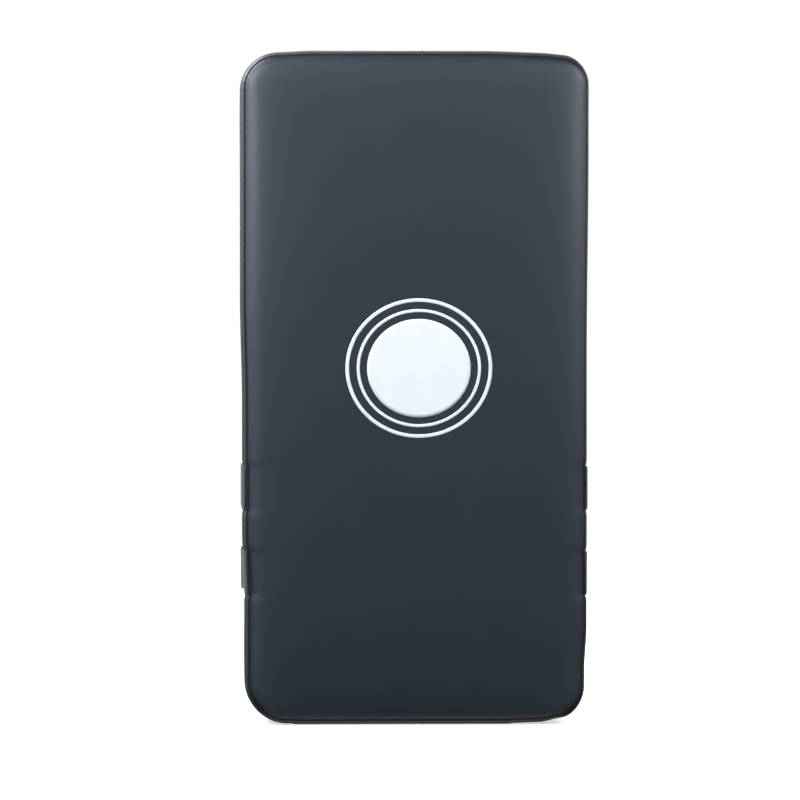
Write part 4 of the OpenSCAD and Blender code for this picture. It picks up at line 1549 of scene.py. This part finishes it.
def turned(profile, centre, sides=28):
    """Solid of revolution about an upright line: a closed profile of (radius, height)."""
    profile = np.asarray(profile, float)
    radius, height = profile.T
    loops = np.stack([np.stack([centre[0] + radius * c, centre[1] + radius * s, centre[2] + height], 1)
                      for c, s in zip(*circle(sides))])
    count = len(profile)
    faces = []
    for k in range(sides):
        first, second = np.arange(count) + k * count, np.arange(count) + (k + 1) % sides * count
        faces += ring_faces(first, second)
    return loops.reshape(-1, 3), faces


def mirrored_outline(places, half_widths):
    """Closed outline from half widths along a line, the same on both sides."""
    ahead = list(zip(places, half_widths))
    return np.array(ahead + [(x, -w) for x, w in ahead[::-1]])


COIL_PITCH, COIL_WIRE = 1.7 * MM, 0.3 * MM
COIL_SIDES, COIL_STEPS = 6, 14


def coil(name, side, a, b):
    """One row of a zip's coil: a flattened helix of round wire."""
    turns = int((b.x - a.x) / COIL_PITCH) - 1
    angle = 2 * np.pi * np.arange(turns * COIL_STEPS + 1) / COIL_STEPS
    phase = 0.25 if side > 0 else 0.75
    x = a.x + COIL_PITCH * (phase + angle / (2 * np.pi))
    middle = (low("zip_coil_upper").z + high("zip_coil_lower").z) / 2
    near = low("zip_coil_upper").z - middle - 0.35 * MM
    far = (b.z if side > 0 else a.z) - middle
    centre_z = middle + (side * near + far) / 2
    half_z = abs(far - side * near) / 2 - COIL_WIRE
    half_y = (b.y - a.y) / 2 - COIL_WIRE
    spread = np.sign(np.cos(angle)) * np.abs(np.cos(angle)) ** 0.8
    spine = np.stack([x, (a.y + b.y) / 2 + half_y * np.sin(angle), centre_z + half_z * spread], 1)
    ahead = unit(np.gradient(spine, axis=0))
    out = np.stack([np.zeros_like(angle), np.sin(angle), np.cos(angle)], 1)
    out = unit(out - ahead * (out * ahead).sum(1, keepdims=True))
    over = np.cross(ahead, out)
    cos, sin = circle(COIL_SIDES)
    ring = out[:, None] * cos[None, :, None] + over[:, None] * sin[None, :, None]
    ring = spine[:, None] + COIL_WIRE * ring
    faces = tube_faces(1, len(spine), COIL_SIDES)
    return facing_out(new_object(name, ring.reshape(-1, 3), faces, MATERIALS["coil"]))


def make_zip(back_tree):
    a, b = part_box("zip_seam_thread")
    window_w, window_h = (b.x - a.x) / 2 - 4 * MM, (b.z - a.z) / 2 - 4 * MM
    centre = np.array([0, (a.z + b.z) / 2])
    window = rounded_loop(window_w, window_h, 3 * MM)
    rim = [(0, -1.0 * MM), (0, 0.2 * MM), (0.05, 0.5 * MM), (0.12, 0.62 * MM), (0.4, 0.6 * MM),
           (0.62, 0.42 * MM), (0.7, 0.5 * MM), (0.92, 0.5 * MM), (1.0, 0.25 * MM), (1.0, -0.3 * MM)]
    outer = rounded_loop(window_w + 6 * MM, window_h + 6 * MM, 8 * MM)
    at = np.linspace(0, len(outer), len(window), endpoint=False)
    outer = np.stack([np.interp(at, np.arange(len(outer) + 1), np.append(outer[:, k], outer[0, k]))
                      for k in (0, 1)], 1)
    hem = laid_shape("zip_window_hem", back_tree, 1, centre, outer, window, rim, MATERIALS["back"])
    store(hem, "wear")
    placed(hem, "pad", "back_vinyl")
    line = rounded_loop(window_w + 3.7 * MM, window_h + 3.7 * MM, 5 * MM)
    placed(sewn_round("zip_window_stitches", back_tree, 1, centre, line, 0.42 * MM, 3.6 * MM),
           "pad", "thread", "zip_seam_thread")
    for side, name in ((-1, "lower"), (1, "upper")):
        a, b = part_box("zip_tape_" + name)
        ribbon = Ribbon([(a.x, (a.y + b.y) / 2), (b.x, (a.y + b.y) / 2)], (a.z + b.z) / 2, b.z - a.z,
                        b.y - a.y, 1, 3 * MM)
        piece = band("zip_woven_tape_" + name, ribbon, 0, ribbon.length[-1], ribbon.half - 0.15 * MM,
                     ribbon.thickness, 0, MATERIALS["tape"], 4 * MM)
        placed(piece, "pad", "zip_tape", "zip_tape_" + name)
        placed(coil("zip_coil_row_" + name, side, *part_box("zip_coil_" + name)), "pad", "zip_coil",
               "zip_coil_" + name)
    make_stops()
    make_slider()
    make_pull()
    return window + centre


def make_stops():
    """End stops: crimped metal staples across both rows."""
    a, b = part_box("zip_stops")
    z = np.array([-1, -0.86, -0.6, -0.3, 0, 0.3, 0.6, 0.86, 1]) * (b.z - a.z) / 2 + (a.z + b.z) / 2
    dip = np.array([0.55, 0.2, 0, 0.05, 0.28, 0.05, 0, 0.2, 0.55]) * MM
    parts = []
    for x0, x1 in ((a.x, a.x + 3 * MM), (b.x - 3 * MM, b.x)):
        loops = []
        for place, down in zip(z, dip):
            top = b.y - down
            ease = 0.35 * MM
            section = [(x0, a.y), (x0, top - ease), (x0 + ease, top), (x1 - ease, top), (x1, top - ease),
                       (x1, a.y)]
            loops.append([(x, y, place) for x, y in section])
        parts.append(lofted(loops))
    placed(joined("zip_end_stops", parts, MATERIALS["metal"]), "pad", "zip_metal", "zip_stops")


def make_slider():
    """Slider: two waisted plates on a post, side flanges, and the ears and pin that hold the pull tab."""
    a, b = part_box("zip_slider")
    pin = joint("pull_flip")["pos_m"]
    x, z = pin[0], pin[2]
    half_l, half_w = (b.x - a.x) / 2, (b.z - a.z) / 2
    plate = 1.2 * MM
    top = pin[1] - 1.9 * MM
    places = x + half_l * np.array([-1, -0.93, -0.8, -0.3, 0.1, 0.4, 0.75, 0.93, 1])
    widths = half_w * np.array([0.5, 0.74, 0.84, 0.84, 0.92, 1.0, 1.0, 0.84, 0.55])
    outline_xz = mirrored_outline(places, widths) + np.array([0, z])
    parts = [softened(outline_xz, a.y, a.y + plate, 1, 0.25 * MM),
             softened(outline_xz, top - plate, top, 1, 0.35 * MM)]
    post = np.array([(x - 1.5 * MM, z), (x, z + 0.5 * MM), (x + 1.5 * MM, z), (x, z - 0.5 * MM)])
    parts.append(softened(post, a.y + 0.4 * MM, top - 0.4 * MM, 1, 0.05 * MM))
    for side in (-1, 1):
        reach = np.array([(x - 0.8 * half_l, 0.76), (x + 0.1 * half_l, 0.82), (x + 0.7 * half_l, 0.9)])
        inner = [(px, z + side * half_w * w) for px, w in reach]
        outer = [(px, z + side * (half_w * w + 0.32 * MM)) for px, w in reach[::-1]]
        parts.append(softened(inner + outer, top - 0.5 * MM, top - 2.3 * MM, 1, 0.05 * MM))
    angles = np.radians(np.linspace(0, 180, 13))
    head = [(x + 1.6 * MM * math.cos(t), pin[1] + 1.6 * MM * math.sin(t)) for t in angles]
    ear = [(x + 2.4 * MM, top - 0.3 * MM)] + head + [(x - 2.4 * MM, top - 0.3 * MM)]
    for side in (-1, 1):
        near = z + side * 2.1 * MM
        parts.append(softened(ear, near, near + side * 1.0 * MM, 2, 0.2 * MM))
    reach = 3.3 * MM
    knob = [(0.02 * MM, -reach), (0.5 * MM, -reach), (0.85 * MM, -reach + 0.2 * MM),
            (0.6 * MM, -reach + 0.3 * MM), (0.6 * MM, reach - 0.3 * MM), (0.85 * MM, reach - 0.2 * MM),
            (0.5 * MM, reach), (0.02 * MM, reach)]
    parts.append(turned(knob, pin))
    placed(joined("zip_slider_body", parts, MATERIALS["metal"]), "zip_slider", "zip_metal", "zip_slider")


def make_pull():
    """Pull tab: a barrel on the slider's pin and a waisted plate with a recess in it."""
    pin = joint("pull_flip")["pos_m"]
    x, z = pin[0], pin[2]
    eye_w = 1.8 * MM
    barrel = [(0.66 * MM, -eye_w), (1.4 * MM, -eye_w), (1.6 * MM, -eye_w + 0.2 * MM),
              (1.6 * MM, eye_w - 0.2 * MM), (1.4 * MM, eye_w), (0.66 * MM, eye_w)]
    far = low("zip_pull").x
    length = x - far
    places = x - length * np.array([0.045, 0.12, 0.24, 0.32, 0.42, 0.7, 0.9, 0.965, 0.99, 1.0])
    widths = np.array([1.5, 1.35, 1.35, 2.2, 2.7, 3.0, 3.0, 2.6, 1.7, 0.6]) * MM
    tab = mirrored_outline(places[::-1], widths[::-1]) + np.array([0, z])
    thick = 0.6 * MM
    parts = [turned(barrel, pin), softened(tab, pin[1] - thick, pin[1] + thick, 1, 0.22 * MM, 0.25 * MM)]
    placed(joined("zip_pull_tab", parts, MATERIALS["metal"]), "zip_pull", "zip_metal", "zip_pull")


# ---------------------------------------------------------------- floor, lights, camera
def area_light(name, place, target, width, height, power, colour=(1, 1, 1)):
    data = bpy.data.lights.new(name, "AREA")
    data.shape = "RECTANGLE"
    data.size = width
    data.size_y = height
    data.energy = power
    data.color = colour
    light = bpy.data.objects.new(name, data)
    light.location = place
    light.rotation_euler = (Vector(target) - Vector(place)).to_track_quat("-Z", "Y").to_euler()
    light.visible_camera = False
    SCENE.collection.objects.link(light)


def make_world():
    """White to the camera, and a faint blue fill to the object."""
    world = bpy.data.worlds.new("studio")
    SCENE.world = world
    world.use_nodes = True
    tree = world.node_tree
    tree.nodes.clear()
    fill = node(tree, "Background", {"Color": (0.9, 0.95, 1.0, 1), "Strength": 0.02})
    white = node(tree, "Background", {"Color": (1, 1, 1, 1), "Strength": 1.05})
    seen = node(tree, "LightPath").outputs["Is Camera Ray"]
    both = node(tree, "MixShader", {0: seen, 1: fill.outputs[0], 2: white.outputs[0]})
    out = tree.nodes.new("ShaderNodeOutputWorld")
    tree.links.new(both.outputs[0], out.inputs["Surface"])


# How much the floor lights the object, against how bright the camera sees it
FLOOR_GLOW = 0.06
FLOOR_R = 3.2


def make_floor():
    """A white floor that glows fully for the camera and faintly for the object."""
    made, tree, shader, where = start_material("studio_floor", Roughness=0.9, Specular_IOR_Level=0.1,
                                               Emission_Color=(1, 1, 1, 1))
    away = node(tree, "VectorMath", {0: where}, operation="LENGTH").outputs["Value"]
    seen = node(tree, "LightPath").outputs["Is Camera Ray"]
    # Painted light: the glow rises from near the pad outwards, so the far floor, which the lamps light less,
    # still reads full white.
    bright = remap(tree, away, 0.3, 1.2, 0.6, 1.1)
    glow = maths(tree, "MULTIPLY", bright, remap(tree, seen, 0, 1, FLOOR_GLOW, 1))
    attach(tree, shader, Emission_Strength=glow)
    shade = maths(tree, "MULTIPLY", seen, remap(tree, noise(tree, where, 3, 2), 0.3, 0.7, 0.93, 0.96))
    attach(tree, shader, Base_Color=node(tree, "CombineColor", {0: shade, 1: shade, 2: shade}).outputs[0])
    rim = np.column_stack([ellipse(FLOOR_R, FLOOR_R, 96), np.full(96, -0.2 * MM)])
    floor = new_object("studio_floor", rim, [list(range(96))], made)


# Daylight from the sides, slightly blue
SIDE_LIGHT = (0.93, 0.965, 1.0)


def make_lights():
    middle = (0, FRONT_Y, HEIGHT / 2)
    upper = (0, FRONT_Y, 0.75 * HEIGHT)
    heart = (0, 0, 0.4)
    area_light("key", (0, -1.6, 1.3), middle, 1.6, 0.8, 2.4)
    area_light("front", (0, -3.0, 0.8), middle, 2.5, 2.0, 1.1)
    area_light("left_near", (-0.8, -1.0, 0.9), upper, 0.4, 0.6, 14.5, SIDE_LIGHT)
    area_light("right_near", (0.8, -1.0, 0.9), upper, 0.4, 0.6, 9.8, SIDE_LIGHT)
    area_light("left_high", (-0.6, 0, 0.95), (-0.15, 0, 0.5), 0.25, 0.5, 12, SIDE_LIGHT)
    area_light("left_side", (-1.1, -0.45, 0.75), heart, 0.5, 0.9, 4.2, SIDE_LIGHT)
    area_light("right_side", (1.1, -0.45, 0.75), heart, 0.5, 0.9, 3.5, SIDE_LIGHT)
    area_light("right_flat", (1.3, -0.15, 0.8), heart, 0.5, 1.0, 2.1, SIDE_LIGHT)
    area_light("right_strip", (1.3, 0.35, 0.8), heart, 0.5, 1.0, 4.7)
    area_light("rear", (0.2, 2.4, 1.1), (0, 0, 0.3), 2.2, 1.6, 35)
    # The white floor's light on the rolled edge right above it
    foot = (0, FRONT_Y + 5 * MM, 0.3 * MM)
    area_light("foot", foot, (0, foot[1], 1), HALF_W * 1.8, 12 * MM, 0.007)


# The camera stands in front, a little to the left and a little above, and shows this width at the strike face
CAMERA_DISTANCE = 4.0
CAMERA_TURN = math.radians(1.3), math.radians(1.0)
SEEN_WIDTH = 710.3 * MM
AIM_X, AIM_Z = -13.2 * MM, 289.7 * MM


def make_camera():
    data = bpy.data.cameras.new("camera")
    camera = bpy.data.objects.new("camera", data)
    SCENE.collection.objects.link(camera)
    SCENE.camera = camera
    data.sensor_width = 36
    data.lens = data.sensor_width * CAMERA_DISTANCE / SEEN_WIDTH
    data.clip_start = 0.1
    data.clip_end = 30
    side, above = CAMERA_TURN
    back = Vector((-math.sin(side) * math.cos(above), -math.cos(side) * math.cos(above), math.sin(above)))
    camera.location = Vector((AIM_X, FRONT_Y, AIM_Z)) + back * CAMERA_DISTANCE
    camera.rotation_euler = (-back).to_track_quat("-Z", "Y").to_euler()


make_camera()
make_world()
make_floor()
make_lights()
front, back, left, right = make_cover()
make_foams()
make_straps(tree_of(left, right))
back_tree = tree_of(back)
make_grip(back_tree)
cut_window(back, make_zip(back_tree))
SCENE.view_settings.view_transform = "Standard"
